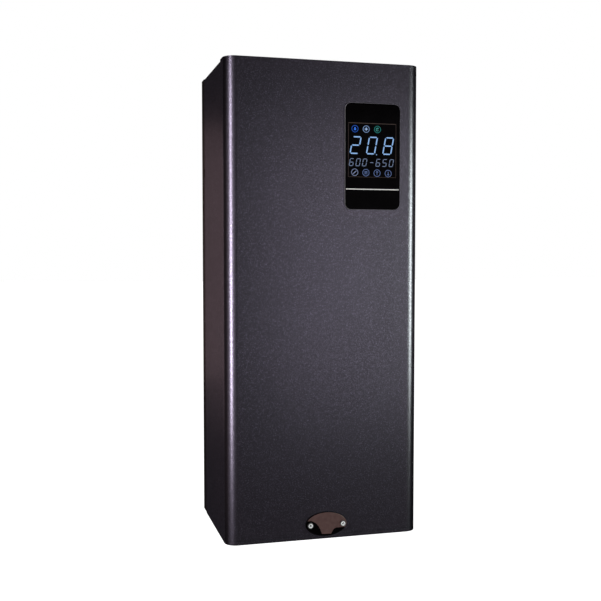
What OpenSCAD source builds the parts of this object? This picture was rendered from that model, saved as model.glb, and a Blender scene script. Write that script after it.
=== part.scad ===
/* [Case] */
// Width of the case
case_w = 252; // [248:1:280]
// Height of the case
case_h = 600; // [590:5:680]
// Depth of the case from the wall to its front
case_d = 175; // [172:1:200]
// Outer radius of the two front vertical corners
corner_r = 15; // [8:1:20]
// Thickness of the sheet steel
sheet_t = 1.2; // [1:0.1:1.5]
// Depth of the back pan that shows behind the cover
strip_d = 20; // [16:1:24]
// How far the back pan stops short of the cover at top and bottom
strip_short = 1.2; // [1:0.1:2]
// Gap between the cover's rear edge and the back pan
seam = 0.8; // [0.4:0.1:1.5]
// Clearance between the cover and the frame that it slides over
slide_clear = 0.4; // [0.3:0.05:0.6]
// Depth of the folded lip at the top of the cover
top_lip_d = 30; // [20:1:40]
// Depth of the folded lip at the bottom of the cover
bottom_lip_d = 8; // [5:1:10]

/* [Control panel] */
// Width of the glossy panel
panel_w = 72.5; // [66:0.5:80]
// Height of the glossy panel
panel_h = 132.4; // [125:0.1:140]
// Thickness of the glossy panel
panel_t = 2; // [1:0.1:3]
// Corner radius of the glossy panel
panel_r = 8; // [4:0.5:12]
// Distance from the right side of the case to the panel
panel_side = 27.1; // [24:0.1:34]
// Distance from the top of the case to the panel
panel_top = 50.5; // [40:0.5:70]

/* [Badge] */
// Width of the oval badge
badge_w = 53.5; // [50:0.5:60]
// Height of the oval badge
badge_h = 30.5; // [27:0.5:34]
// Height of the badge's centre above the bottom edge
badge_z = 19; // [18:0.5:24]
// Distance of the badge to the right of the middle
badge_x = 2; // [0:0.5:6]
// Distance between the two cover screws
screw_gap = 42.7; // [36:0.1:44]

/* [Wall fixing] */
// Distance between the two upper keyholes, and between the two lower holes
wall_gap = 180; // [150:5:190]
// Radius of a keyhole's entry
key_r = 7.5; // [6.5:0.1:9]
// Radius of the slot above a keyhole's entry
key_slot_r = 3.5; // [2.5:0.1:4]
// Radius of a lower wall hole
wall_hole_r = 4; // [3:0.1:6]
// Distance from the top of the case to the keyhole entries
key_top = 48; // [40:1:60]
// Distance from the bottom of the case to the lower wall holes
wall_hole_z = 40; // [30:1:60]

/* [Water side] */
// Outer radius of the heater tank
tank_r = 30.15; // [28:0.05:32]
// Length of the heater tank
tank_len = 320; // [300:5:330]
// Wall of the heater tank
tank_wall = 2; // [1.5:0.1:2.5]
// Distance from the left side to the tank's axis, in a case of the design width
tank_side = 60; // [54:1:66]
// Distance from the wall to the tank's axis, in a case of the design depth
tank_out = 78; // [72:1:84]
// Height of the tank's lower end
tank_z = 172; // [170:1:185]
// Outer radius of the water pipes
pipe_r = 11; // [9:0.5:11.5]
// Radius of the connecting stubs under the case
stub_r = 13.2; // [12.8:0.05:14]
// How far the stubs stand out under the case
stub_below = 25; // [20:1:30]
// Distance between the return and the supply pipe, in a case of the design width
pipe_gap = 70; // [66:1:74]
// Radius of a heating rod
rod_r = 4; // [3:0.1:4.2]

/* [Electrics] */
// Width of the power board, in a case of the design width
board_w = 86; // [80:1:90]
// Width of the contactor, in a case of the design width
contactor_w = 45; // [40:1:46]
// Width of one terminal block, in a case of the design width
terminal_w = 7.6; // [6.5:0.1:8]
// Radius of the bore of the mains cable gland
mains_bore_r = 8; // [6:0.1:8.5]
// Radius of the bore of a small cable gland
small_bore_r = 3.2; // [2.5:0.1:3.5]

/* [Hidden] */
$fn = 64;

// Overrun of every cut
cut = 1;
// Clearance between a part and the hole or seat that holds it
fit_clear = 0.1;
// Clearance between bodies that move past each other
run_clear = 0.4;

// Design width and depth of the case, and the case's shares of them: the inner pieces are
// sized for the design case and follow it when it is made wider, narrower or deeper
design_w = 252;
design_d = 175;
wide_share = case_w / design_w;
deep_share = case_d / design_d;

// Planes of the case, with the wall at y 0 and the bottom edge at z 0
front_y = -case_d;
cover_back_y = -(strip_d + seam);
inner_front_y = front_y + sheet_t;
plate_w = case_w - 2 * (sheet_t + slide_clear);
plate_d = case_d - sheet_t - slide_clear;
plate_r = corner_r - sheet_t - slide_clear;
pan_bottom = strip_short;
pan_top = case_h - strip_short;
floor_z0 = pan_bottom + sheet_t;
floor_z = floor_z0 + sheet_t;
roof_z = pan_top - sheet_t;
roof_z0 = roof_z - sheet_t;

// Hooks near the rear edge of the cover's sides, and their slots
hook_top = 129;
hook_z = case_h - hook_top;
notch_h = 12;
notch_d = 3.6;
hook_h = notch_h - 2 * fit_clear - 2 * run_clear;
hook_len = 7;
flange_d = 14;

// Screws of the cover, with their heads on the badge
screw_r = 2;
screw_head_r = 3.5;
screw_head_h = 3.2;
screw_key = 3;
screw_key_d = 2;
screw_len = 15;
screw_x = [badge_x - screw_gap / 2, badge_x + screw_gap / 2];
screw_hole_r = screw_r + fit_clear * 2;
nut_r = 3;
nut_collar_r = 4.2;
nut_collar_t = 2;
nut_len = 9;
nut_bore_r = screw_r + fit_clear / 2;

// Control panel and what lies behind it
panel_x = case_w / 2 - panel_side - panel_w / 2;
panel_z = case_h - panel_top - panel_h / 2;
panel_bevel = 1;
window_rim = 6;
window_w = panel_w - 2 * window_rim;
window_h = panel_h - 2 * window_rim;
housing_rim = 2;
housing_w = panel_w + 2 * housing_rim;
housing_h = panel_h + 2 * housing_rim;
housing_wall = 1.8;
housing_d = 16;
housing_back_y = inner_front_y + housing_d;
board_t = 1.6;
panel_board_y = inner_front_y + housing_d / 2;
panel_board_w = housing_w - 2 * housing_wall - 2 * fit_clear;
panel_board_h = housing_h - 2 * housing_wall - 2 * fit_clear;
post_r = 2.5;
digits_w = 56;
digits_h = 50;
digits_top = 12;
digits_z = panel_z + panel_h / 2 - digits_h / 2 - digits_top;
touch_gap = 14.8;
touch_count = 4;
touch_r = 4;
touch_up = 46;
touch_z = panel_z - panel_h / 2 + touch_up;
stud_r = 1.5;
stud_len = 13;
stud_out = 5;
stud_in = 14;
stud_x = housing_w / 2 + stud_out;
stud_z = housing_h / 2 - stud_in;
ear_r = 4;
ear_t = 3;
small_nut_flats = 5.5;
small_nut_t = 2.4;
plug_w = 22;
plug_h = 7;
plug_wall = 1.5;
header_w = plug_w + 2 * (plug_wall + run_clear);
header_h = plug_h + 2 * (plug_wall + run_clear);
header_out = 3;
header_back_y = housing_back_y + header_out;
plug_seat = 4;
plug_len = 12;
header_up = 24;
header_z = panel_z - panel_h / 2 + header_up;

// Badge
badge_base_t = 2.2;
badge_bevel = 0.8;
badge_plate_t = 0.8;
badge_rim = 2.4;
badge_points = 64;
badge_front_y = front_y - badge_base_t;

// Folded edges of the frame's plates
plate_fold = 10;
screw_flange_h = 34;
side_flange_h = 14;
vent_w = 3;
vent_l = 26;
vent_pitch = 8 * wide_share;
vent_count = 7;
vent_x = -42 * wide_share;
vent_y = -118 * deep_share;
pan_screw_r = 1.6;
pan_screw_head_r = 3;
pan_screw_head_t = 1;
pan_screw_len = 5;
pan_screw_shares = [-0.381, -0.127, 0.127, 0.381];
pan_screw_x = pan_screw_shares * case_w;
pan_step = 2 * sheet_t + slide_clear;
// Corners of the badge's upper fan, as shares of the oval's width and height
fan_shares = [[-0.5, 0.24], [-0.44, 0.24], [-0.36, 0.2], [-0.26, 0.09], [-0.19, -0.06],
    [-0.15, -0.2], [-0.12, -0.38], [0.12, -0.4], [0.18, -0.2], [0.24, -0.17],
    [0.5, -0.17], [0.5, 0.5], [-0.5, 0.5]];

// Tank, with its collar at the top and boss at the side
tank_x = tank_side * wide_share - case_w / 2;
tank_y = -tank_out * deep_share;
tank_top = tank_z + tank_len;
collar_h = 12;
collar_wall = 6;
collar_r = tank_r - collar_wall;
boss_r = 14;
boss_len = 8;
boss_bore_r = 9;
boss_drop = 52;
boss_z = tank_top - boss_drop;
pipe_wall = 1;

// Insulation shells round the tank
foam_t = 10;
foam_low = 18;
foam_high = 6;
foam_z0 = tank_z + foam_low;
foam_z1 = boss_z - boss_r - foam_high;

// Brackets and bands that hold the tank
band_h = 12;
band_t = 1.5;
band_inset = 3;
bracket_t = 2;
band_z = [tank_z + band_inset, tank_top - collar_h - band_h - band_inset];
band_screw_r = 2;
band_seat = 5;
band_reach = 7;
band_ear = band_seat + band_reach * wide_share;
band_screw_head_r = 3.6;
band_screw_head_t = 2.6;

// Element plug, its pocket and gasket
gasket_t = 2;
plug_flats = 54;
plug_hex_t = 10;
pocket_r = 5;
pocket_bore_r = 3.4;
pocket_len = 120;
rod_ring_r = 16;
rod_bend_r = 8;
element_count = 3;
rod_low = 26;
rod_out = 8;
rod_bottom = tank_z + rod_low;
rod_top = tank_top + gasket_t + plug_hex_t + rod_out;
rod_mid_r = sqrt(rod_ring_r * rod_ring_r - rod_bend_r * rod_bend_r);
terminal_r = 2;
terminal_h = 16;
terminal_nut_flats = 7;
terminal_nut_t = 3;
bridge_t = 1.2;
bridge_w = 8;
bridge_neck = 3;

// Supply side
supply_x = tank_x + pipe_gap * wide_share;
tee_r = 13;
tee_bore_r = 9;
tee_h = 40;
stub_relief = 0.3;
stub_hex = 30;
stub_hex_t = 10;
stub_in = 26;
stub_hole_r = stub_r + fit_clear * 4;
lock_flats = 34;
lock_t = 5;

// Air vent
vent_neck_r = 8;
vent_neck_h = 8;
vent_body_r = 17;
vent_body_h = 50;
vent_dome_h = 6;
vent_cap_r = 6;
vent_cap_h = 11;
vent_cap_ribs = 12;
vent_spigot_r = 3;
vent_spigot_h = 7;
vent_z0 = boss_z + tee_h / 2;
vent_z1 = vent_z0 + vent_neck_h + vent_body_h;

// Return tee and safety valve
return_tee_r = 14;
return_tee_h = 34;
valve_z = 80;
valve_in_r = 9;
valve_in_len = 12 * deep_share;
valve_r = 13;
valve_len = 38 * deep_share;
valve_hex_share = 0.3;
valve_bore_r = 6;
valve_y0 = tank_y - return_tee_r - valve_in_len - valve_len;
outlet_r = 10;
outlet_len = 26;
outlet_y = valve_y0 + valve_len / 2;
drain_r = 7;
drain_bore_r = 5;
drain_below = 14;
drain_end_r = 6.5;
knob_r = 14;
knob_h = 16 * deep_share;
knob_lobes = 8;
knob_lobe_r = 2.2;
knob_stem_r = 3;
knob_bore_r = 3.05;
knob_stem_len = 9 * deep_share;
sensor_r = 8;
sensor_len = 24 * wide_share;
sensor_hex = 18;
sensor_hex_t = 7;
sensor_neck_r = 5;
sensor_neck_len = 6 * wide_share;
probe_r = 4;
probe_len = 14;
probe_hex = 12;
probe_hex_t = 6;

// Cooling block on the return pipe
block_z0 = 108;
block_h = 48;
block_w = 54;
block_back = 14;
block_front = 20;
triac_count = 3;
triac_w = 14;
triac_h = 20;
triac_t = 5;
triac_gap = 17;
triac_leg_w = 1.2;
triac_leg_len = 8;
triac_leg_gap = 4;

// Overheat cut-out on the bottom plate, with its button below
cutout_side = 78;
cutout_out = 132;
cutout_x = case_w / 2 - cutout_side * wide_share;
cutout_y = -cutout_out * deep_share;
cutout_w = 32;
cutout_h = 38;
bushing_r = 6;
bushing_below = 9;
bushing_bore_r = 3.4;
bushing_nut_flats = 17;
bushing_nut_t = 3;
button_r = 3;
button_out = 4;
button_len = 12;
button_travel = 1.5;
capillary_r = 1;
bulb_r = 3.2;
bulb_len = 80;

// Electrics on the back pan
rail_w = 35;
rail_d = 7.5;
rail_t = 1;
rail_z = 150;
rail_side = 9;
rail_x1 = case_w / 2 - rail_side;
rail_lip = 4;
contactor_wide = contactor_w * wide_share;
contactor_h = 80;
contactor_d = 74;
contactor_step = 16;
contactor_step_share = 0.8;
contactor_poles = 3;
terminal_wide = terminal_w * wide_share;
terminal_h_all = 50;
terminal_d = 44;
terminal_step = 9;
terminal_step_share = 0.7;
terminal_count = 4;
terminal_screw_r = 2.4;
rail_start = 2;
rail_gap = 2;
rail_end = 5;
rail_len = rail_start + contactor_wide + rail_gap + (terminal_count + 1) * terminal_wide
    + rail_end;
contactor_x0 = rail_x1 - rail_len + rail_start;
terminal_x0 = contactor_x0 + contactor_wide + rail_gap;
board_side = 10;
board_low = 42;
board_high = 48;
ribbon_rise = 49.1;
board_wide = board_w * wide_share;
board_x1 = case_w / 2 - board_side;
board_z0 = rail_z + contactor_h / 2 + board_low;
board_h = min(boss_z - board_high, header_z - ribbon_rise) - board_z0;
board_back_y = -18;
board_face_y = board_back_y - board_t;
standoff_r = 3.5;
standoff_screw_r = 1.5;
standoff_inset = 6;
relay_w = 15.6;
relay_h = 28;
relay_d = 16;
relay_count = 3;
relay_pitch = 20;
transformer_w = 34;
transformer_h = 28;
transformer_d = 26;
capacitor_r = 6;
capacitor_len = 20;
capacitor_pitch = 14.4;
fuse_r = 3;
fuse_len = 20;
fuse_share = 0.72;
connector_w = 40;
connector_h = 10;
connector_d = 12;
// The display's header stands over the panel's middle, or beside the board's corner screw
header_x = max(panel_x, board_x1 - board_wide + 2 * standoff_inset + connector_w / 2);
ribbon_t = 1;
ribbon_clear = 2.5;

// Cable glands in the bottom plate
gland_side = 32;
gland_gap = 30;
gland_x = case_w / 2 - gland_side * wide_share;
gland_y = -60;
gland_r = 12.4;
gland_flats = 27;
small_gland_r = 6;
small_gland_flats = 15;
gland_body_h = 8;
gland_dome_h = 9;
gland_thread_in = 9;
gland_lock_t = 4;
small_gland_x = gland_x - gland_gap * wide_share;
small_gland_y = [-44, -76];
stud_x_earth = gland_x;
stud_y_earth = -96;

// Wires
wire_r = 1.8;
wire_sides = 8;
wire_bend = 20;
wire_steps = 5;
wire_pitch = 5.5;
// The leads cross over the elements at these shares of the room under the top plate
head_room = case_h - sheet_t - rod_top - terminal_h;
wire_over_share = 0.31;
wire_step_share = 0.085;
wire_over = head_room * wire_over_share;
wire_step = max(2 * wire_r + fit_clear, head_room * wire_step_share);
wire_top = rod_top + terminal_h + wire_over;
line_lead_drop = 25;
thin_wire_r = 0.7;
thin_wire_pitch = 1.8;
control_drop = 8;
control_over = 28;
control_in = 3;
wire_reference = [0.31, 0.74, 0.55];
capillary_in = 1;
capillary_x = contactor_x0 + capillary_in;
capillary_share = 1.6;
capillary_rise_share = 1.2;
contactor_wire_in = 16;
contactor_wire_y = tank_y + contactor_wire_in;
sensor_wire_y = -26;
sensor_rise_x = (supply_x + pipe_r + contactor_x0) / 2;
terminal_wire_y = -30;
board_inset = 3;
earth_x = terminal_x0 + terminal_count * terminal_wide + fit_clear;
gland_wall = 2.5;
stud_earth_h = 14;

// Helpers: plain solids between two planes, and rods along an axis
module slab(x0, x1, y0, y1, z0, z1) {
    translate([x0, y0, z0]) cube([x1 - x0, y1 - y0, z1 - z0]);
}

module rod_x(x0, x1, y, z, r) {
    translate([x0, y, z]) rotate([0, 90, 0]) cylinder(h = x1 - x0, r = r);
}

module rod_y(x, y0, y1, z, r) {
    translate([x, y1, z]) rotate([90, 0, 0]) cylinder(h = y1 - y0, r = r);
}

module rod_z(x, y, z0, z1, r) {
    translate([x, y, z0]) cylinder(h = z1 - z0, r = r);
}

module hex_y(x, y0, y1, z, flats) {
    translate([x, y1, z]) rotate([90, 0, 0])
        cylinder(h = y1 - y0, r = flats / sqrt(3), $fn = 6);
}

module hex_z(x, y, z0, z1, flats) {
    translate([x, y, z0]) cylinder(h = z1 - z0, r = flats / sqrt(3), $fn = 6);
}

// Plan of the case with two rounded front corners
module front_section(w, d, r) {
    translate([-w / 2, r - d]) square([w, d - r]);
    translate([r - w / 2, -d]) square([w - 2 * r, r]);
    for (s = [-1, 1]) translate([s * (w / 2 - r), r - d]) circle(r = r);
}

// Wall of one sheet along that plan
module front_wall(w, d, r, t) {
    difference() {
        front_section(w, d, r);
        front_section(w - 2 * t, d - t, r - t);
    }
}

// Flat shape with rounded corners, centred
module round_rect(w, h, r) {
    square([w - 2 * r, h], center = true);
    square([w, h - 2 * r], center = true);
    for (sx = [-1, 1], sy = [-1, 1])
        translate([sx * (w / 2 - r), sy * (h / 2 - r)]) circle(r = r);
}

// Solid standing in the XZ plane, its outline drawn as X and Z
module upright(x, y0, y1, z) {
    translate([x, y1, z]) rotate([90, 0, 0]) linear_extrude(y1 - y0) children();
}

// Oval outline from a formula
function oval_points(w, h, count) =
    [for (i = [0:count - 1]) [w / 2 * cos(360 * i / count), h / 2 * sin(360 * i / count)]];

module front_cover() color([0.22, 0.21, 0.24]) {
    difference() {
        union() {
            linear_extrude(case_h) intersection() {
                front_wall(case_w, case_d, corner_r, sheet_t);
                translate([-case_w, front_y]) square([2 * case_w, cover_back_y - front_y]);
            }
            for (lip = [[0, bottom_lip_d], [case_h - sheet_t, top_lip_d]])
                translate([0, 0, lip[0]]) linear_extrude(sheet_t) intersection() {
                    front_section(case_w, case_d, corner_r);
                    translate([-case_w, front_y]) square([2 * case_w, lip[1]]);
                }
        }
        slab(-case_w, case_w, front_y + top_lip_d, cut, roof_z, case_h + cut);
        slab(panel_x - window_w / 2, panel_x + window_w / 2, front_y - cut,
            inner_front_y + cut, panel_z - window_h / 2, panel_z + window_h / 2);
        for (x = screw_x)
            rod_y(x, front_y - cut, inner_front_y + cut, badge_z, screw_hole_r);
        slab(-case_w, case_w, cover_back_y - notch_d, cut,
            hook_z - notch_h / 2, hook_z + notch_h / 2);
    }
    for (s = [-1, 1]) {
        hook_x = s * (case_w / 2 - hook_len / 2);
        slab(hook_x - hook_len / 2, hook_x + hook_len / 2, cover_back_y - notch_d - sheet_t,
            cover_back_y - notch_d, hook_z - hook_h / 2, hook_z + hook_h / 2);
        for (sz = [-1, 1])
            rod_y(panel_x + s * stud_x, inner_front_y, inner_front_y + stud_len,
                panel_z + sz * stud_z, stud_r);
    }
}

module control_overlay() color([0.03, 0.03, 0.04])
    hull() {
        upright(panel_x, front_y - panel_t + panel_bevel, front_y, panel_z)
            round_rect(panel_w, panel_h, panel_r, $fn = 32);
        upright(panel_x, front_y - panel_t, front_y, panel_z)
            round_rect(panel_w - 2 * panel_bevel, panel_h - 2 * panel_bevel,
                panel_r - panel_bevel, $fn = 32);
    }

module display_housing() color([0.12, 0.12, 0.13]) difference() {
    union() {
        slab(panel_x - housing_w / 2, panel_x + housing_w / 2, inner_front_y, housing_back_y,
            panel_z - housing_h / 2, panel_z + housing_h / 2);
        for (sx = [-1, 1], sz = [-1, 1])
            hull() for (x = [housing_w / 2, stud_x])
                rod_y(panel_x + sx * x, inner_front_y, inner_front_y + ear_t,
                    panel_z + sz * stud_z, ear_r);
    }
    slab(panel_x - housing_w / 2 + housing_wall, panel_x + housing_w / 2 - housing_wall,
        inner_front_y - cut, housing_back_y - housing_wall,
        panel_z - housing_h / 2 + housing_wall, panel_z + housing_h / 2 - housing_wall);
    slab(header_x - header_w / 2 - fit_clear, header_x + header_w / 2 + fit_clear,
        inner_front_y, housing_back_y + cut, header_z - header_h / 2 - fit_clear,
        header_z + header_h / 2 + fit_clear);
    for (sx = [-1, 1], sz = [-1, 1])
        rod_y(panel_x + sx * stud_x, inner_front_y - cut, housing_back_y,
            panel_z + sz * stud_z, stud_r + fit_clear);
}

module display_board() color([0.05, 0.3, 0.12]) {
    slab(panel_x - panel_board_w / 2, panel_x + panel_board_w / 2, panel_board_y,
        panel_board_y + board_t, panel_z - panel_board_h / 2, panel_z + panel_board_h / 2);
    for (sx = [-1, 1], sz = [-1, 1])
        rod_y(panel_x + sx * (panel_board_w / 2 - post_r * 2), panel_board_y + board_t,
            housing_back_y - housing_wall, panel_z + sz * (panel_board_h / 2 - post_r * 2),
            post_r);
    difference() {
        slab(header_x - header_w / 2, header_x + header_w / 2, panel_board_y + board_t,
            header_back_y, header_z - header_h / 2, header_z + header_h / 2);
        slab(header_x - header_w / 2 + plug_wall, header_x + header_w / 2 - plug_wall,
            header_back_y - plug_seat - run_clear, header_back_y + cut,
            header_z - header_h / 2 + plug_wall, header_z + header_h / 2 - plug_wall);
    }
}

module digit_display() color([0.35, 0.55, 0.75])
    slab(panel_x - digits_w / 2, panel_x + digits_w / 2, front_y, panel_board_y,
        digits_z - digits_h / 2, digits_z + digits_h / 2);

module touch_posts() color([0.6, 0.6, 0.6])
    for (i = [0:touch_count - 1])
        rod_y(panel_x + (i - (touch_count - 1) / 2) * touch_gap, front_y, panel_board_y,
            touch_z, touch_r);

module display_nuts() color([0.7, 0.7, 0.7])
    for (sx = [-1, 1], sz = [-1, 1]) difference() {
        hex_y(panel_x + sx * stud_x, inner_front_y + ear_t,
            inner_front_y + ear_t + small_nut_t, panel_z + sz * stud_z, small_nut_flats);
        rod_y(panel_x + sx * stud_x, inner_front_y, housing_back_y,
            panel_z + sz * stud_z, stud_r);
    }

module oval_bezel() color([0.05, 0.05, 0.06]) difference() {
    hull() {
        upright(badge_x, front_y - badge_base_t + badge_bevel, front_y, badge_z)
            polygon(oval_points(badge_w, badge_h, badge_points));
        upright(badge_x, front_y - badge_base_t, front_y, badge_z)
            polygon(oval_points(badge_w - 2 * badge_bevel, badge_h - 2 * badge_bevel,
                badge_points));
    }
    for (x = screw_x)
        rod_y(x, badge_front_y - cut, front_y + cut, badge_z, screw_hole_r);
}

// Upper fan of the badge with a tab that points down
module badge_outline() intersection() {
    polygon(oval_points(badge_w - 2 * badge_rim, badge_h - 2 * badge_rim, badge_points));
    polygon([for (p = fan_shares) [p[0] * badge_w, p[1] * badge_h]]);
}

module badge_plate() color([0.36, 0.28, 0.27]) difference() {
    upright(badge_x, badge_front_y - badge_plate_t, badge_front_y, badge_z) badge_outline();
    for (x = screw_x)
        rod_y(x, badge_front_y - badge_plate_t - cut, badge_front_y + cut, badge_z,
            screw_head_r + fit_clear);
}

module cover_screws() color([0.8, 0.8, 0.82])
    for (x = screw_x) difference() {
        union() {
            rod_y(x, badge_front_y - screw_head_h, badge_front_y, badge_z, screw_head_r);
            rod_y(x, badge_front_y, badge_front_y + screw_len, badge_z, screw_r);
        }
        hex_y(x, badge_front_y - screw_head_h - cut,
            badge_front_y - screw_head_h + screw_key_d, badge_z, screw_key);
    }

// Keyhole: an entry circle with a narrower slot above it
module keyhole(x, z) {
    rod_y(x, -sheet_t - cut, cut, z, key_r);
    slab(x - key_slot_r, x + key_slot_r, -sheet_t - cut, cut, z, z + 2 * key_r);
    rod_y(x, -sheet_t - cut, cut, z + 2 * key_r, key_slot_r);
}

module back_pan() color([0.25, 0.24, 0.26]) difference() {
    union() {
        slab(-case_w / 2, case_w / 2, -sheet_t, 0, pan_bottom, pan_top);
        for (s = [-1, 1]) {
            rim_x = s * (case_w / 2 - sheet_t / 2);
            slab(rim_x - sheet_t / 2, rim_x + sheet_t / 2, -strip_d, 0, pan_bottom, pan_top);
            web_x = s * (case_w / 2 - pan_step / 2);
            slab(web_x - pan_step / 2, web_x + pan_step / 2, -strip_d, sheet_t - strip_d,
                floor_z, roof_z0);
            flange_x = s * (plate_w / 2 - sheet_t / 2);
            slab(flange_x - sheet_t / 2, flange_x + sheet_t / 2, -strip_d - flange_d,
                sheet_t - strip_d, floor_z + side_flange_h, roof_z0 - plate_fold);
        }
        for (z = [pan_bottom, pan_top - sheet_t])
            slab(-case_w / 2, case_w / 2, -strip_d, 0, z, z + sheet_t);
    }
    for (x = [-wall_gap / 2, wall_gap / 2]) {
        keyhole(x, case_h - key_top);
        rod_y(x, -sheet_t - cut, cut, wall_hole_z, wall_hole_r);
    }
    slab(-case_w, case_w, -strip_d - flange_d - cut, -strip_d - fit_clear,
        hook_z - notch_h / 2, hook_z + notch_h / 2);
    for (x = pan_screw_x, z = [pan_bottom, pan_top - sheet_t])
        rod_z(x, -strip_d / 2, z - cut, z + sheet_t + cut, pan_screw_r);
}

// Plate with the plan of the case's inside and edges folded up or down
module folded_plate(z0, fold) {
    translate([0, 0, z0]) linear_extrude(sheet_t) difference() {
        front_section(plate_w, plate_d, plate_r);
        translate([-case_w, -sheet_t]) square([2 * case_w, sheet_t + cut]);
    }
    translate([0, 0, z0 + min(0, fold)]) linear_extrude(abs(fold) + sheet_t)
        difference() {
            front_wall(plate_w, plate_d, plate_r, sheet_t);
            translate([-case_w, -strip_d - run_clear]) square([2 * case_w, case_d]);
        }
}

module top_plate() color([0.62, 0.63, 0.65]) difference() {
    folded_plate(roof_z0, -plate_fold);
    for (x = pan_screw_x)
        rod_z(x, -strip_d / 2, roof_z0 - cut, roof_z + cut, pan_screw_r);
}

module bottom_plate() color([0.25, 0.24, 0.26]) difference() {
    union() {
        folded_plate(floor_z0, side_flange_h);
        slab(badge_x - badge_w / 2, badge_x + badge_w / 2, -plate_d, sheet_t - plate_d,
            floor_z0, screw_flange_h);
    }
    for (x = screw_x) rod_y(x, -plate_d - cut, nut_collar_t - plate_d, badge_z, nut_r);
    for (x = [tank_x, supply_x]) rod_z(x, tank_y, floor_z0 - cut, floor_z + cut, stub_hole_r);
    rod_z(tank_x, outlet_y, floor_z0 - cut, floor_z + cut, drain_r + run_clear);
    rod_z(gland_x, gland_y, floor_z0 - cut, floor_z + cut, gland_r + fit_clear);
    for (y = small_gland_y)
        rod_z(small_gland_x, y, floor_z0 - cut, floor_z + cut, small_gland_r + fit_clear);
    rod_z(cutout_x, cutout_y, floor_z0 - cut, floor_z + cut, bushing_r + fit_clear);
    rod_z(stud_x_earth, stud_y_earth, floor_z0 - cut, floor_z + cut, screw_r + fit_clear);
    for (i = [0:vent_count - 1])
        slab(vent_x + i * vent_pitch, vent_x + i * vent_pitch + vent_w, vent_y - vent_l / 2,
            vent_y + vent_l / 2, floor_z0 - cut, floor_z + cut);
    for (x = pan_screw_x)
        rod_z(x, -strip_d / 2, floor_z0 - cut, floor_z + cut, pan_screw_r);
}

// Screws that join the plates to the pan, the earth stud, and the tank's band screws
module frame_screws() color([0.7, 0.7, 0.72]) {
    for (x = pan_screw_x, s = [-1, 1]) {
        face_z = s > 0 ? pan_top : pan_bottom;
        translate([x, -strip_d / 2, face_z]) mirror([0, 0, s > 0 ? 0 : 1]) {
            cylinder(h = pan_screw_head_t, r = pan_screw_head_r);
            translate([0, 0, -pan_screw_len]) cylinder(h = pan_screw_len, r = pan_screw_r);
        }
    }
    rod_z(stud_x_earth, stud_y_earth, floor_z0 - pan_screw_head_t, floor_z0,
        pan_screw_head_r);
    rod_z(stud_x_earth, stud_y_earth, floor_z0, floor_z + stud_earth_h, screw_r);
    hex_z(stud_x_earth, stud_y_earth, floor_z, floor_z + terminal_nut_t, terminal_nut_flats);
    for (z = band_z, s = [-1, 1]) {
        x = tank_x + s * (tank_r + band_ear / 2);
        rod_y(x, tank_y - band_t - band_screw_head_t, tank_y - band_t, z + band_h / 2,
            band_screw_head_r);
        rod_y(x, tank_y - band_t, tank_y + bracket_t + band_screw_head_t, z + band_h / 2,
            band_screw_r);
    }
}

module rivet_nuts() color([0.75, 0.75, 0.76]) for (x = screw_x) difference() {
    union() {
        rod_y(x, -plate_d, nut_len - plate_d, badge_z, nut_r);
        rod_y(x, sheet_t - plate_d, sheet_t + nut_collar_t - plate_d, badge_z, nut_collar_r);
    }
    rod_y(x, -plate_d - cut, nut_len - plate_d + cut, badge_z, nut_bore_r);
}

// One bracket: a strip on the pan, two arms, two ears and a half-round seat
module tank_bracket(z) {
    arm_out = tank_r + band_ear;
    slab(tank_x - arm_out, tank_x + arm_out, -sheet_t - bracket_t, -sheet_t, z, z + band_h);
    for (s = [-1, 1]) {
        arm_x = tank_x + s * (arm_out - bracket_t / 2);
        slab(arm_x - bracket_t / 2, arm_x + bracket_t / 2, tank_y, -sheet_t, z, z + band_h);
        ear_x = tank_x + s * (tank_r + band_ear / 2);
        difference() {
            slab(ear_x - band_ear / 2, ear_x + band_ear / 2, tank_y, tank_y + bracket_t,
                z, z + band_h);
            rod_y(ear_x, tank_y - cut, tank_y + bracket_t + cut, z + band_h / 2,
                band_screw_r + fit_clear);
            rod_z(tank_x, tank_y, z - cut, z + band_h + cut, tank_r + fit_clear);
        }
    }
    translate([tank_x, tank_y, z]) linear_extrude(band_h) difference() {
        circle(r = tank_r + fit_clear + bracket_t);
        circle(r = tank_r + fit_clear);
        translate([-case_w, -case_d]) square([2 * case_w, case_d]);
    }
}

module tank_brackets() color([0.7, 0.71, 0.72]) for (z = band_z) tank_bracket(z);

module tank_bands() color([0.72, 0.72, 0.74]) for (z = band_z) {
    translate([0, 0, z]) linear_extrude(band_h) intersection() {
        translate([tank_x, tank_y]) difference() {
            circle(r = tank_r + fit_clear + band_t);
            circle(r = tank_r + fit_clear);
        }
        translate([-case_w, -case_d]) square([2 * case_w, case_d + tank_y]);
    }
    for (s = [-1, 1]) difference() {
        ear_x = tank_x + s * (tank_r + band_ear / 2 + band_t / 2);
        slab(ear_x - band_ear / 2 + band_t / 2, ear_x + band_ear / 2 - band_t / 2,
            tank_y - band_t, tank_y, z, z + band_h);
        rod_y(tank_x + s * (tank_r + band_ear / 2), tank_y - band_t - cut, tank_y + cut,
            z + band_h / 2, band_screw_r + fit_clear);
    }
}

module heater_tank() color([0.75, 0.75, 0.76]) difference() {
    union() {
        rod_z(tank_x, tank_y, tank_z, tank_top, tank_r);
        rod_x(tank_x, tank_x + tank_r + boss_len, tank_y, boss_z, boss_r);
    }
    rod_z(tank_x, tank_y, tank_z + tank_wall, tank_top - collar_h, tank_r - tank_wall);
    rod_z(tank_x, tank_y, tank_top - collar_h - cut, tank_top + cut, collar_r + fit_clear);
    rod_z(tank_x, tank_y, tank_z - cut, tank_z + tank_wall + cut, pipe_r - pipe_wall);
    rod_x(tank_x, tank_x + tank_r + boss_len + cut, tank_y, boss_z, boss_bore_r);
}

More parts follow.
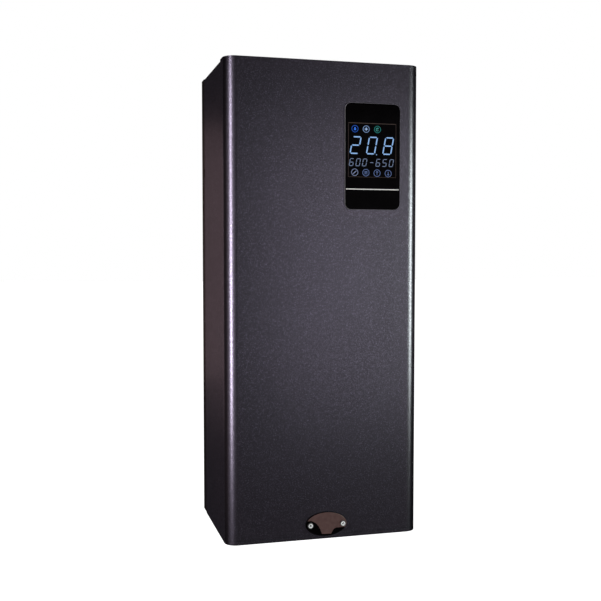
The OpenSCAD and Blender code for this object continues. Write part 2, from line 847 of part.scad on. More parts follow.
// Half shell of insulation, front for side -1 and rear for side 1
module foam_half(side) translate([tank_x, tank_y, foam_z0])
    linear_extrude(foam_z1 - foam_z0) intersection() {
        difference() {
            circle(r = tank_r + foam_t);
            circle(r = tank_r + fit_clear);
        }
        translate([-case_w / 2, side > 0 ? fit_clear : -case_w / 2 - fit_clear])
            square([case_w, case_w / 2]);
    }

module insulation_front() color([0.16, 0.16, 0.17]) foam_half(-1);

module insulation_rear() color([0.16, 0.16, 0.17]) foam_half(1);

// Place of one leg of heating element i, round the plug's axis
function leg_angle(i) = 360 * i / element_count + 90;

module on_leg(i, side) translate([tank_x, tank_y, 0]) rotate([0, 0, leg_angle(i)])
    translate([rod_mid_r, side * rod_bend_r, 0]) children();

function leg_place(i, side) = let (a = leg_angle(i))
    [tank_x + rod_mid_r * cos(a) - side * rod_bend_r * sin(a),
        tank_y + rod_mid_r * sin(a) + side * rod_bend_r * cos(a)];

module element_plug() color([0.78, 0.66, 0.38]) difference() {
    union() {
        rod_z(tank_x, tank_y, tank_top - collar_h, tank_top, collar_r);
        rod_z(tank_x, tank_y, tank_top, tank_top + gasket_t, collar_r);
        hex_z(tank_x, tank_y, tank_top + gasket_t, tank_top + gasket_t + plug_hex_t,
            plug_flats);
        rod_z(tank_x, tank_y, tank_top - pocket_len, tank_top, pocket_r);
    }
    rod_z(tank_x, tank_y, tank_top - pocket_len + tank_wall,
        tank_top + gasket_t + plug_hex_t + cut, pocket_bore_r);
    for (i = [0:element_count - 1], side = [-1, 1]) on_leg(i, side)
        rod_z(0, 0, tank_top - collar_h - cut, tank_top + gasket_t + plug_hex_t + cut,
            rod_r + fit_clear / 2);
}

module plug_gasket() color([0.1, 0.1, 0.1]) difference() {
    rod_z(tank_x, tank_y, tank_top, tank_top + gasket_t, plug_flats / 2);
    rod_z(tank_x, tank_y, tank_top - cut, tank_top + gasket_t + cut, collar_r + fit_clear);
}

// One U-shaped rod with straight legs and a half-round bend below
module heating_element(i) color([0.55, 0.52, 0.5])
    translate([tank_x, tank_y, rod_bottom]) rotate([0, 0, leg_angle(i)])
        translate([rod_mid_r, 0, 0]) {
            for (side = [-1, 1]) rod_z(0, side * rod_bend_r, 0, rod_top - rod_bottom, rod_r);
            rotate([0, 0, 90]) rotate([-90, 0, 0])
                rotate_extrude(angle = 180) translate([rod_bend_r, 0]) circle(r = rod_r);
        }

module heating_element_1() heating_element(0);
module heating_element_2() heating_element(1);
module heating_element_3() heating_element(2);

module element_terminals() color([0.8, 0.8, 0.82])
    for (i = [0:element_count - 1], side = [-1, 1]) on_leg(i, side) {
        rod_z(0, 0, rod_top, rod_top + terminal_h, terminal_r);
        hex_z(0, 0, rod_top, rod_top + terminal_nut_t, terminal_nut_flats);
        hex_z(0, 0, rod_top + terminal_h - 2 * terminal_nut_t,
            rod_top + terminal_h - terminal_nut_t, terminal_nut_flats);
    }

// Flat bridge that joins one terminal of each element: a ring with three arms
module star_bridge() color([0.72, 0.45, 0.2])
    translate([0, 0, rod_top + terminal_nut_t]) difference() {
        union() {
            rod_z(tank_x, tank_y, 0, bridge_t, rod_ring_r - bridge_w / 2 - bridge_t);
            for (i = [0:element_count - 1]) {
                on_leg(i, 1) rod_z(0, 0, 0, bridge_t, bridge_w / 2);
                translate([tank_x, tank_y, 0])
                    rotate([0, 0, leg_angle(i) + asin(rod_bend_r / rod_ring_r)])
                        slab(0, rod_ring_r, -bridge_neck, bridge_neck, 0, bridge_t);
            }
        }
        rod_z(tank_x, tank_y, -cut, bridge_t + cut, rod_ring_r / 2 - bridge_t);
        for (i = [0:element_count - 1]) on_leg(i, 1)
            rod_z(0, 0, -cut, bridge_t + cut, terminal_r + fit_clear);
    }

// Pipe with its threaded stub, which stands on the bottom plate with its hexagon
module pipe_with_stub(x, top) difference() {
    union() {
        rod_z(x, tank_y, floor_z + stub_hex_t, top, pipe_r);
        rod_z(x, tank_y, -stub_below, floor_z0 - lock_t, stub_r);
        rod_z(x, tank_y, floor_z0 - lock_t, floor_z, stub_r - stub_relief);
        hex_z(x, tank_y, floor_z, floor_z + stub_hex_t, stub_hex);
        rod_z(x, tank_y, floor_z + stub_hex_t, floor_z + stub_in, stub_r);
    }
    rod_z(x, tank_y, -stub_below - cut, top + cut, pipe_r - pipe_wall);
}

module supply_pipe() color([0.72, 0.45, 0.25])
    pipe_with_stub(supply_x, boss_z - tee_h / 2);

module return_pipe() color([0.72, 0.45, 0.25]) pipe_with_stub(tank_x, tank_z);

module supply_tee() color([0.78, 0.66, 0.38]) difference() {
    union() {
        rod_x(tank_x + tank_r + boss_len, supply_x, tank_y, boss_z, tee_r);
        rod_z(supply_x, tank_y, boss_z - tee_h / 2, boss_z + tee_h / 2, tee_r);
        rod_x(supply_x, supply_x + tee_r + probe_hex_t / 2, tank_y, boss_z, probe_hex / 2);
    }
    rod_x(tank_x + tank_r + boss_len - cut, supply_x, tank_y, boss_z, tee_bore_r);
    rod_z(supply_x, tank_y, boss_z - tee_h / 2 - cut, boss_z + tee_h / 2 + cut, tee_bore_r);
}

module return_tee() color([0.78, 0.66, 0.38]) difference() {
    union() {
        rod_z(tank_x, tank_y, valve_z - return_tee_h / 2, valve_z + return_tee_h / 2,
            return_tee_r);
        rod_y(tank_x, tank_y - return_tee_r - valve_in_len, tank_y, valve_z, valve_in_r);
        rod_x(tank_x - return_tee_r - sensor_neck_len, tank_x, tank_y, valve_z, sensor_neck_r);
    }
    rod_z(tank_x, tank_y, valve_z - return_tee_h, valve_z + return_tee_h,
        pipe_r + fit_clear / 2);
    rod_y(tank_x, tank_y - return_tee_r - valve_in_len - cut, tank_y, valve_z, valve_bore_r);
}

// Nuts under and over the bottom plate: pipes, cut-out and glands
module lock_nuts() color([0.74, 0.72, 0.66]) {
    for (x = [tank_x, supply_x])
        lock_nut(x, tank_y, floor_z0 - lock_t, lock_t, lock_flats, stub_r - stub_relief);
    lock_nut(cutout_x, cutout_y, floor_z0 - bushing_nut_t, bushing_nut_t,
        bushing_nut_flats, bushing_r);
    lock_nut(gland_x, gland_y, floor_z, gland_lock_t, gland_flats + gland_lock_t, gland_r);
    for (y = small_gland_y)
        lock_nut(small_gland_x, y, floor_z, gland_lock_t, small_gland_flats + fit_clear,
            small_gland_r);
}

module lock_nut(x, y, z, t, flats, bore) difference() {
    hex_z(x, y, z, z + t, flats);
    rod_z(x, y, z - cut, z + t + cut, bore + fit_clear / 2);
}

// Round vent with a domed top, a neck below and a spigot for its cap
module air_vent_body() color([0.78, 0.66, 0.38]) {
    rod_z(supply_x, tank_y, vent_z0, vent_z0 + vent_neck_h, vent_neck_r);
    translate([supply_x, tank_y, vent_z1 - vent_body_h]) rotate_extrude()
        polygon([[0, 0], [vent_body_r - vent_spigot_r, 0], [vent_body_r, vent_spigot_r],
            [vent_body_r, vent_body_h - vent_dome_h],
            [vent_body_r - vent_dome_h, vent_body_h], [0, vent_body_h]]);
    rod_z(supply_x, tank_y, vent_z1, vent_z1 + vent_spigot_h, vent_spigot_r);
}

module air_vent_cap() color([0.1, 0.1, 0.1]) difference() {
    union() {
        rod_z(supply_x, tank_y, vent_z1 + run_clear, vent_z1 + run_clear + vent_cap_h,
            vent_cap_r);
        for (i = [0:vent_cap_ribs - 1]) translate([supply_x, tank_y, 0])
            rotate([0, 0, 360 * i / vent_cap_ribs])
                slab(vent_cap_r - bridge_t, vent_cap_r + bridge_t / 2, -bridge_t / 2,
                    bridge_t / 2, vent_z1 + run_clear, vent_z1 + vent_cap_h);
    }
    rod_z(supply_x, tank_y, vent_z1, vent_z1 + vent_spigot_h + run_clear,
        vent_spigot_r + fit_clear / 2);
}

// Safety valve: inlet at the back, outlet below, stem at the front
module safety_valve_body() color([0.78, 0.66, 0.38]) difference() {
    union() {
        rod_y(tank_x, valve_y0, valve_y0 + valve_len, valve_z, valve_r);
        hex_y(tank_x, valve_y0 + valve_len * (1 - valve_hex_share), valve_y0 + valve_len, valve_z,
            2 * valve_r + valve_bore_r / 2);
        rod_z(tank_x, outlet_y, valve_z - outlet_len, valve_z, outlet_r);
        rod_y(tank_x, valve_y0 - knob_stem_len, valve_y0, valve_z, knob_stem_r);
    }
    rod_z(tank_x, outlet_y, valve_z - outlet_len - cut, valve_z, valve_bore_r);
    rod_y(tank_x, outlet_y, valve_y0 + valve_len + cut, valve_z, valve_bore_r);
}

module safety_valve_knob() color([0.75, 0.08, 0.06]) {
    knob_y = valve_y0 - run_clear;
    difference() {
        union() {
            rod_y(tank_x, knob_y - knob_h, knob_y, valve_z, knob_r - knob_lobe_r);
            for (i = [0:knob_lobes - 1])
                rod_y(tank_x + (knob_r - knob_lobe_r) * cos(360 * i / knob_lobes),
                    knob_y - knob_h, knob_y,
                    valve_z + (knob_r - knob_lobe_r) * sin(360 * i / knob_lobes), knob_lobe_r);
        }
        rod_y(tank_x, valve_y0 - knob_stem_len - run_clear, valve_y0, valve_z, knob_bore_r);
    }
}

module drain_spout() color([0.6, 0.6, 0.58]) difference() {
    union() {
        rod_z(tank_x, outlet_y, 0, valve_z - outlet_len, drain_r);
        rod_z(tank_x, outlet_y, -drain_below, 0, drain_end_r);
    }
    rod_z(tank_x, outlet_y, -drain_below - cut, valve_z - outlet_len + cut, drain_bore_r);
}

module pressure_sensor() color([0.7, 0.7, 0.68]) {
    x0 = tank_x - return_tee_r - sensor_neck_len;
    translate([x0, tank_y, valve_z]) rotate([0, -90, 0]) {
        cylinder(h = sensor_hex_t, r = sensor_hex / sqrt(3), $fn = 6);
        cylinder(h = sensor_len, r = sensor_r);
    }
}

module supply_probe() color([0.8, 0.7, 0.4]) {
    x0 = supply_x + tee_r + probe_hex_t / 2;
    translate([x0, tank_y, boss_z]) rotate([0, 90, 0]) {
        cylinder(h = probe_hex_t, r = probe_hex / sqrt(3), $fn = 6);
        cylinder(h = probe_hex_t + probe_len, r = probe_r);
    }
}

module triac_block() color([0.8, 0.81, 0.83]) difference() {
    slab(tank_x - block_w / 2, tank_x + block_w / 2, tank_y - block_front,
        tank_y + block_back, block_z0, block_z0 + block_h);
    rod_z(tank_x, tank_y, block_z0 - cut, block_z0 + block_h + cut, pipe_r + fit_clear / 2);
    slab(tank_x - pipe_wall / 2, tank_x + pipe_wall / 2, tank_y, tank_y + block_back + cut,
        block_z0 - cut, block_z0 + block_h + cut);
}

module triacs() color([0.08, 0.08, 0.09]) for (i = [0:triac_count - 1]) {
    x = tank_x + (i - (triac_count - 1) / 2) * triac_gap;
    y = tank_y - block_front;
    z = block_z0 + block_h / 2;
    difference() {
        slab(x - triac_w / 2, x + triac_w / 2, y - triac_t, y, z - triac_h / 2,
            z + triac_h / 2);
        rod_y(x, y - triac_t - cut, y + cut, z + triac_h / 2 - triac_t, screw_r);
    }
    for (k = [-1:1])
        slab(x + k * triac_leg_gap - triac_leg_w / 2, x + k * triac_leg_gap + triac_leg_w / 2,
            y - triac_leg_w * 2, y - triac_leg_w, z - triac_h / 2 - triac_leg_len,
            z - triac_h / 2);
}

module cutout_thermostat() color([0.85, 0.83, 0.78]) difference() {
    union() {
        slab(cutout_x - cutout_w / 2, cutout_x + cutout_w / 2, cutout_y - cutout_w / 2,
            cutout_y + cutout_w / 2, floor_z, floor_z + cutout_h);
        rod_z(cutout_x, cutout_y, floor_z0 - bushing_below, floor_z, bushing_r);
        rod_z(cutout_x, cutout_y, floor_z + cutout_h, floor_z + cutout_h + terminal_nut_t,
            bushing_r);
    }
    rod_z(cutout_x, cutout_y, floor_z0 - bushing_below - cut,
        floor_z0 - bushing_below + button_len, bushing_bore_r);
}

module reset_button() color([0.75, 0.1, 0.08])
    rod_z(cutout_x, cutout_y, floor_z0 - bushing_below - button_out,
        floor_z0 - bushing_below + button_len - button_travel - run_clear, button_r);

// The part's origin is the middle of its back face
module hang() translate([0, 0, -case_h / 2]) children();

function unit(v) = v / norm(v);

// Path with its corners rounded over a distance d, in n steps
function rounded_path(p, d, n) = concat([p[0]],
    [for (i = [1:len(p) - 2], k = [0:n])
        let (a = p[i] + d * unit(p[i - 1] - p[i]), b = p[i] + d * unit(p[i + 1] - p[i]),
            t = k / n) (1 - t) * (1 - t) * a + 2 * t * (1 - t) * p[i] + t * t * b],
    [p[len(p) - 1]]);

// Round wire along a path, as one closed solid
module wire(path, r, sides) {
    n = len(path);
    rings = [for (i = [0:n - 1])
        let (t = unit(path[min(i + 1, n - 1)] - path[max(i - 1, 0)]),
            u = unit(cross(t, wire_reference)), v = cross(t, u))
        for (k = [0:sides - 1])
            path[i] + r * cos(360 * k / sides) * u + r * sin(360 * k / sides) * v];
    faces = concat([[for (k = [0:sides - 1]) k]],
        [for (i = [0:n - 2], k = [0:sides - 1])
            let (a = i * sides + k, b = i * sides + (k + 1) % sides)
                [a, a + sides, b + sides, b]],
        [[for (k = [sides - 1:-1:0]) (n - 1) * sides + k]]);
    polyhedron(points = rings, faces = faces);
}

module cutout_bulb() color([0.72, 0.45, 0.25]) {
    bulb_z = tank_top - pocket_len + 2 * tank_wall;
    rod_z(tank_x, tank_y, bulb_z, bulb_z + bulb_len, bulb_r);
    wire(rounded_path([[tank_x, tank_y, bulb_z + bulb_len - cut],
        [tank_x, tank_y, wire_top + wire_step * capillary_rise_share],
        [capillary_x, cutout_y, wire_top],
        [capillary_x, cutout_y, floor_z + cutout_h * 2],
        [cutout_x, cutout_y, floor_z + cutout_h * capillary_share],
        [cutout_x, cutout_y, floor_z + cutout_h + terminal_nut_t]], wire_bend / 2, wire_steps),
        capillary_r, wire_sides);
}

// Leads from the contactor up to the elements, and from the line terminals to the contactor
module element_wires() color([0.08, 0.08, 0.08]) for (i = [0:element_count - 1]) {
    x = contactor_x0 + wire_r * 2 + i * wire_pitch;
    end = leg_place(i, -1);
    top = wire_top + i * wire_step;
    wire(rounded_path([[x, contactor_wire_y, rail_z + contactor_h / 2],
        [x, contactor_wire_y, top], [end[0], end[1], top],
        [end[0], end[1], rod_top + terminal_h]],
        min(wire_bend, wire_over) / 2, wire_steps), wire_r, wire_sides);
    line_x = terminal_x0 + (i + 0.5) * terminal_wide;
    pole_x = contactor_x0 + contactor_wide * (i + 0.5) / contactor_poles;
    lead_z = rail_z - terminal_h_all / 2 - line_lead_drop;
    wire(rounded_path([[line_x, terminal_wire_y, rail_z - terminal_h_all / 2],
        [line_x, terminal_wire_y, lead_z], [pole_x, contactor_wire_y, lead_z],
        [pole_x, contactor_wire_y, rail_z - contactor_h / 2]],
        wire_bend / 4, wire_steps), wire_r, wire_sides);
}

// Thin leads from the triacs' legs to the power board's lower connector
module control_leads() color([0.6, 0.6, 0.62]) for (i = [0:triac_count - 1]) {
    leg_x = tank_x + (i - (triac_count - 1) / 2) * triac_gap;
    leg_y = tank_y - block_front - triac_leg_w * 1.5;
    leg_z = block_z0 + block_h / 2 - triac_h / 2 - triac_leg_len;
    back = (triac_count - 1 - i) * thin_wire_pitch;
    run_z = leg_z - control_drop - back;
    rise_x = sensor_rise_x - thin_wire_pitch + back;
    over_z = rail_z + contactor_h / 2 + control_over;
    end_x = board_x1 - board_wide / 2 - connector_w / 4 + i * thin_wire_pitch;
    end_y = board_face_y - control_in - back;
    wire(rounded_path([[leg_x, leg_y, leg_z], [leg_x, leg_y, run_z], [rise_x, leg_y, run_z],
        [rise_x, leg_y, over_z], [rise_x, end_y, over_z], [end_x, end_y, over_z],
        [end_x, end_y, board_z0 + board_inset]],
        wire_bend / 5, wire_steps), thin_wire_r, wire_sides);
}

module sensor_wire() color([0.75, 0.75, 0.72]) {
    probe_x = supply_x + tee_r + probe_hex_t / 2 + probe_hex_t + probe_len;
    drop_x = header_x - plug_w / 2 + plug_wall - ribbon_clear;
    drop_y = board_face_y - control_in;
    wire(rounded_path([[probe_x, tank_y, boss_z], [drop_x, tank_y, boss_z],
        [drop_x, drop_y, boss_z - wire_bend],
        [drop_x, drop_y, board_z0 + board_h - board_inset]],
        wire_bend / 8, wire_steps), capillary_r, wire_sides);
    sensor_x = tank_x - return_tee_r - sensor_neck_len - sensor_len;
    turn_x = (sensor_x - plate_w / 2 + sheet_t) / 2;
    wire(rounded_path([[sensor_x, tank_y, valve_z], [turn_x, tank_y, valve_z],
        [turn_x, sensor_wire_y, valve_z + wire_bend],
        [sensor_rise_x, sensor_wire_y, valve_z + wire_bend],
        [sensor_rise_x, sensor_wire_y, board_z0 - wire_bend],
        [board_x1 - board_wide / 2, sensor_wire_y, board_z0 - wire_bend],
        [board_x1 - board_wide / 2, sensor_wire_y, board_z0 + board_inset]],
        wire_bend / 8, wire_steps), capillary_r, wire_sides);
}

module earth_lead() color([0.45, 0.65, 0.15])
    wire(rounded_path([[earth_x + terminal_wide / 2, terminal_wire_y,
            rail_z - terminal_h_all / 2],
        [earth_x + terminal_wide / 2, terminal_wire_y, rail_z - terminal_h_all],
        [stud_x_earth, stud_y_earth, floor_z + wire_bend * 2],
        [stud_x_earth, stud_y_earth, floor_z + stud_earth_h]],
        wire_bend / 2, wire_steps), wire_r, wire_sides);

// Shape drawn as Y and Z, extruded along X
module along_x(x0, x1) translate([x0, 0, 0]) rotate([90, 0, 90])
    linear_extrude(x1 - x0) children();

module din_rail() color([0.8, 0.8, 0.8]) along_x(rail_x1 - rail_len, rail_x1)
    translate([-sheet_t, rail_z]) for (s = [0, 1]) mirror([0, s]) {
        translate([-rail_t, 0]) square([rail_t, rail_w / 2 - rail_lip]);
        translate([-rail_d, rail_w / 2 - rail_lip - rail_t]) square([rail_d, rail_t]);
        translate([-rail_d, rail_w / 2 - rail_lip - rail_t])
            square([rail_t, rail_lip + rail_t]);
    }

// Stepped housing on the rail: deep in the middle, lower where its screws are
module rail_housing(x0, w, h, d, step, low_share) difference() {
    along_x(x0, x0 + w) translate([-sheet_t - rail_d, rail_z]) polygon([[0, -h / 2],
        [-d * low_share, -h / 2], [-d * low_share, step - h / 2], [-d, step - h / 2],
        [-d, h / 2 - step], [-d * low_share, h / 2 - step], [-d * low_share, h / 2],
        [0, h / 2]]);
    children();
}

module contactor() color([0.85, 0.85, 0.83])
    rail_housing(contactor_x0, contactor_wide, contactor_h, contactor_d, contactor_step,
        contactor_step_share) for (i = [0:contactor_poles - 1], s = [-1, 1])
            rod_y(contactor_x0 + contactor_wide * (i + 0.5) / contactor_poles,
                -sheet_t - rail_d - contactor_d - cut,
                -sheet_t - rail_d - contactor_d * contactor_step_share + terminal_screw_r,
                rail_z + s * (contactor_h - contactor_step) / 2, terminal_screw_r);

module terminal_block(x0) rail_housing(x0, terminal_wide - fit_clear, terminal_h_all,
    terminal_d, terminal_step, terminal_step_share) for (s = [-1, 1])
        rod_y(x0 + terminal_wide / 2, -sheet_t - rail_d - terminal_d - cut,
            -sheet_t - rail_d - terminal_d * terminal_step_share + terminal_screw_r,
            rail_z + s * (terminal_h_all - terminal_step) / 2, terminal_screw_r);

module line_terminals() color([0.6, 0.62, 0.62])
    for (i = [0:terminal_count - 1]) terminal_block(terminal_x0 + i * terminal_wide);

module earth_terminal() color([0.45, 0.65, 0.15]) terminal_block(earth_x);

module power_board() color([0.05, 0.3, 0.12]) difference() {
    slab(board_x1 - board_wide, board_x1, board_face_y, board_back_y, board_z0,
        board_z0 + board_h);
    on_board_corners() rod_y(0, board_face_y - cut, board_back_y + cut, 0,
        standoff_screw_r + fit_clear);
}

module on_board_corners() for (x = [board_x1 - board_wide + standoff_inset,
        board_x1 - standoff_inset], z = [board_z0 + standoff_inset,
        board_z0 + board_h - standoff_inset]) translate([x, 0, z]) children();

module board_standoffs() color([0.8, 0.8, 0.82]) on_board_corners() {
    rod_y(0, board_back_y, -sheet_t, 0, standoff_r);
    rod_y(0, board_face_y, board_back_y, 0, standoff_screw_r);
    rod_y(0, board_face_y - pan_screw_head_t, board_face_y, 0, pan_screw_head_r);
}

module board_components() color([0.1, 0.1, 0.12]) {
    x0 = board_x1 - board_wide + board_inset;
    relay_z0 = board_z0 + 2 * board_inset + connector_h;
    for (i = [0:relay_count - 1])
        slab(x0 + i * relay_pitch, x0 + i * relay_pitch + relay_w, board_face_y - relay_d,
            board_face_y, relay_z0, relay_z0 + relay_h);
    slab(board_x1 - board_inset - transformer_w, board_x1 - board_inset,
        board_face_y - transformer_d, board_face_y, board_z0 + board_h / 2,
        board_z0 + board_h / 2 + transformer_h);
    for (i = [0:1])
        rod_y(x0 + capacitor_r + i * capacitor_pitch, board_face_y - capacitor_len,
            board_face_y, board_z0 + board_h / 2 + capacitor_r, capacitor_r);
    rod_x(x0, x0 + fuse_len, board_face_y - fuse_r, board_z0 + board_h * fuse_share, fuse_r);
}

module board_connectors() color([0.1, 0.45, 0.2])
    for (place = [[board_x1 - board_wide / 2, board_z0 + board_inset],
            [header_x, board_z0 + board_h - board_inset - connector_h]])
        slab(place[0] - connector_w / 2, place[0] + connector_w / 2,
            board_face_y - connector_d, board_face_y, place[1], place[1] + connector_h);

// Flat cable with a plug that seats in the display board's header
module ribbon_cable() color([0.55, 0.55, 0.57]) {
    z0 = board_z0 + board_h - board_inset;
    y1 = header_back_y - plug_seat + plug_len;
    along_x(header_x - plug_w / 2 + plug_wall, header_x + plug_w / 2 - plug_wall)
        polygon([[sensor_wire_y, z0], [sensor_wire_y, header_z + ribbon_t / 2],
            [y1, header_z + ribbon_t / 2], [y1, header_z - ribbon_t / 2],
            [sensor_wire_y - ribbon_t, header_z - ribbon_t / 2],
            [sensor_wire_y - ribbon_t, z0]]);
    slab(header_x - plug_w / 2, header_x + plug_w / 2, header_back_y - plug_seat, y1,
        header_z - plug_h / 2, header_z + plug_h / 2);
}

// Gland: a body with a hexagon under the plate and a thread through it
module gland_body(x, y, flats, r, bore) difference() {
    union() {
        hex_z(x, y, floor_z0 - gland_body_h, floor_z0, flats);
        rod_z(x, y, floor_z0 - gland_body_h, floor_z + gland_thread_in, r);
    }
    rod_z(x, y, floor_z0 - gland_body_h - cut, floor_z + gland_thread_in + cut, bore);
}

module gland_dome(x, y, flats, bore) translate([x, y, floor_z0 - gland_body_h])
    rotate_extrude() polygon([[flats / 2 - gland_wall, 0], [flats / 2, 0],
        [flats / 2, gland_wall - gland_dome_h], [flats / 2 - gland_wall, -gland_dome_h],
        [bore + run_clear, -gland_dome_h], [bore + run_clear, gland_wall - gland_dome_h],
        [flats / 2 - gland_wall, gland_wall - gland_dome_h]]);

module gland_seal(x, y, flats, bore) difference() {
    rod_z(x, y, floor_z0 - gland_body_h - gland_dome_h + gland_wall, floor_z0 - gland_body_h,
        flats / 2 - gland_wall);
    rod_z(x, y, floor_z0 - gland_body_h - gland_dome_h, floor_z0, bore + run_clear);
}

module gland_bodies() color([0.85, 0.85, 0.85]) {
    gland_body(gland_x, gland_y, gland_flats, gland_r, mains_bore_r);
    for (y = small_gland_y)
        gland_body(small_gland_x, y, small_gland_flats, small_gland_r, small_bore_r);
}

module gland_domes() color([0.85, 0.85, 0.85]) {
    gland_dome(gland_x, gland_y, gland_flats, mains_bore_r);
    for (y = small_gland_y) gland_dome(small_gland_x, y, small_gland_flats, small_bore_r);
}

module gland_seals() color([0.1, 0.1, 0.1]) {
    gland_seal(gland_x, gland_y, gland_flats, mains_bore_r);
    for (y = small_gland_y) gland_seal(small_gland_x, y, small_gland_flats, small_bore_r);
}

hang() front_cover();
hang() control_overlay();
hang() display_housing();
hang() display_board();
hang() digit_display();
hang() touch_posts();
hang() display_nuts();
hang() oval_bezel();
hang() badge_plate();
hang() cover_screws();
hang() back_pan();
hang() top_plate();
hang() bottom_plate();
hang() frame_screws();
hang() rivet_nuts();
hang() tank_brackets();
hang() tank_bands();
hang() heater_tank();
hang() insulation_front();
hang() insulation_rear();
hang() element_plug();
hang() plug_gasket();
hang() heating_element_1();
hang() heating_element_2();
hang() heating_element_3();
hang() element_terminals();
hang() star_bridge();
hang() supply_tee();
hang() supply_pipe();
hang() return_pipe();
hang() return_tee();
hang() lock_nuts();
hang() air_vent_body();
hang() air_vent_cap();
hang() safety_valve_body();
hang() safety_valve_knob();
hang() drain_spout();
hang() pressure_sensor();
hang() supply_probe();
hang() triac_block();
hang() triacs();
hang() cutout_thermostat();
hang() cutout_bulb();
hang() reset_button();
hang() din_rail();
hang() contactor();
hang() line_terminals();
hang() earth_terminal();
hang() power_board();
hang() board_standoffs();
hang() board_components();
hang() board_connectors();
hang() gland_bodies();
hang() gland_domes();
hang() gland_seals();
hang() element_wires();
hang() control_leads();
hang() sensor_wire();
hang() ribbon_cable();
hang() earth_lead();
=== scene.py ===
"""Electric heating boiler round its CAD frame: finishes, display and other print, panel edge,
badge plate, leads, camera and studio."""
import math

import bmesh
import bpy
import numpy as np
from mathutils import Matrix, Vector


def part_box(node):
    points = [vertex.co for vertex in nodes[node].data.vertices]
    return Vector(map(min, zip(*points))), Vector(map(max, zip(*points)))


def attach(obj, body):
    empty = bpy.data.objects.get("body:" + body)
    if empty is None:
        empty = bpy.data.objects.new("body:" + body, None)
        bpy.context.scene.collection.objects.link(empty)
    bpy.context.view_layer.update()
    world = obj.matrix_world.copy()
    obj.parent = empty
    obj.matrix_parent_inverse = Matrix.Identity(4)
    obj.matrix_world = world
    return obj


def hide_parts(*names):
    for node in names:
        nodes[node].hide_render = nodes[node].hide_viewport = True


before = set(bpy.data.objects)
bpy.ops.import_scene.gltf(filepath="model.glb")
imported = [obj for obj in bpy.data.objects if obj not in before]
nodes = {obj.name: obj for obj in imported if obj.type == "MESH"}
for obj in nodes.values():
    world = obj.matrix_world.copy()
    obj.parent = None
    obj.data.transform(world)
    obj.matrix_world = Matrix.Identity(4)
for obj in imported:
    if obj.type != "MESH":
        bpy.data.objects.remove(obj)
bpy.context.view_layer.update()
MM = 0.001

# Camera of the photograph: place in metres, yaw to the right, pitch, focal length in pixels
CAMERA_PLACE = (-0.3257, -1.2716, 0.0613)
CAMERA_YAW = 0.2622
CAMERA_PITCH = -0.0513
CAMERA_FOCAL_PX = 913.8
FRAME_PX = 601
SENSOR_MM = 36.0

cover_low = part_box("front_cover")[0]
panel_low, panel_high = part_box("control_overlay")
badge_low, badge_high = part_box("oval_bezel")
plate_low, plate_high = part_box("badge_plate")


def aim_camera():
    """Camera at the fitted place, turned by yaw and pitch, with the photograph's focal length."""
    data = bpy.data.cameras.new("photo_camera")
    data.sensor_width = SENSOR_MM
    data.lens = SENSOR_MM * CAMERA_FOCAL_PX / FRAME_PX
    data.clip_end = 50
    camera = bpy.data.objects.new("photo_camera", data)
    bpy.context.scene.collection.objects.link(camera)
    camera.location = CAMERA_PLACE
    forward = Vector((math.sin(CAMERA_YAW) * math.cos(CAMERA_PITCH),
                      math.cos(CAMERA_YAW) * math.cos(CAMERA_PITCH), math.sin(CAMERA_PITCH)))
    camera.rotation_euler = forward.to_track_quat("-Z", "Y").to_euler()
    bpy.context.scene.camera = camera


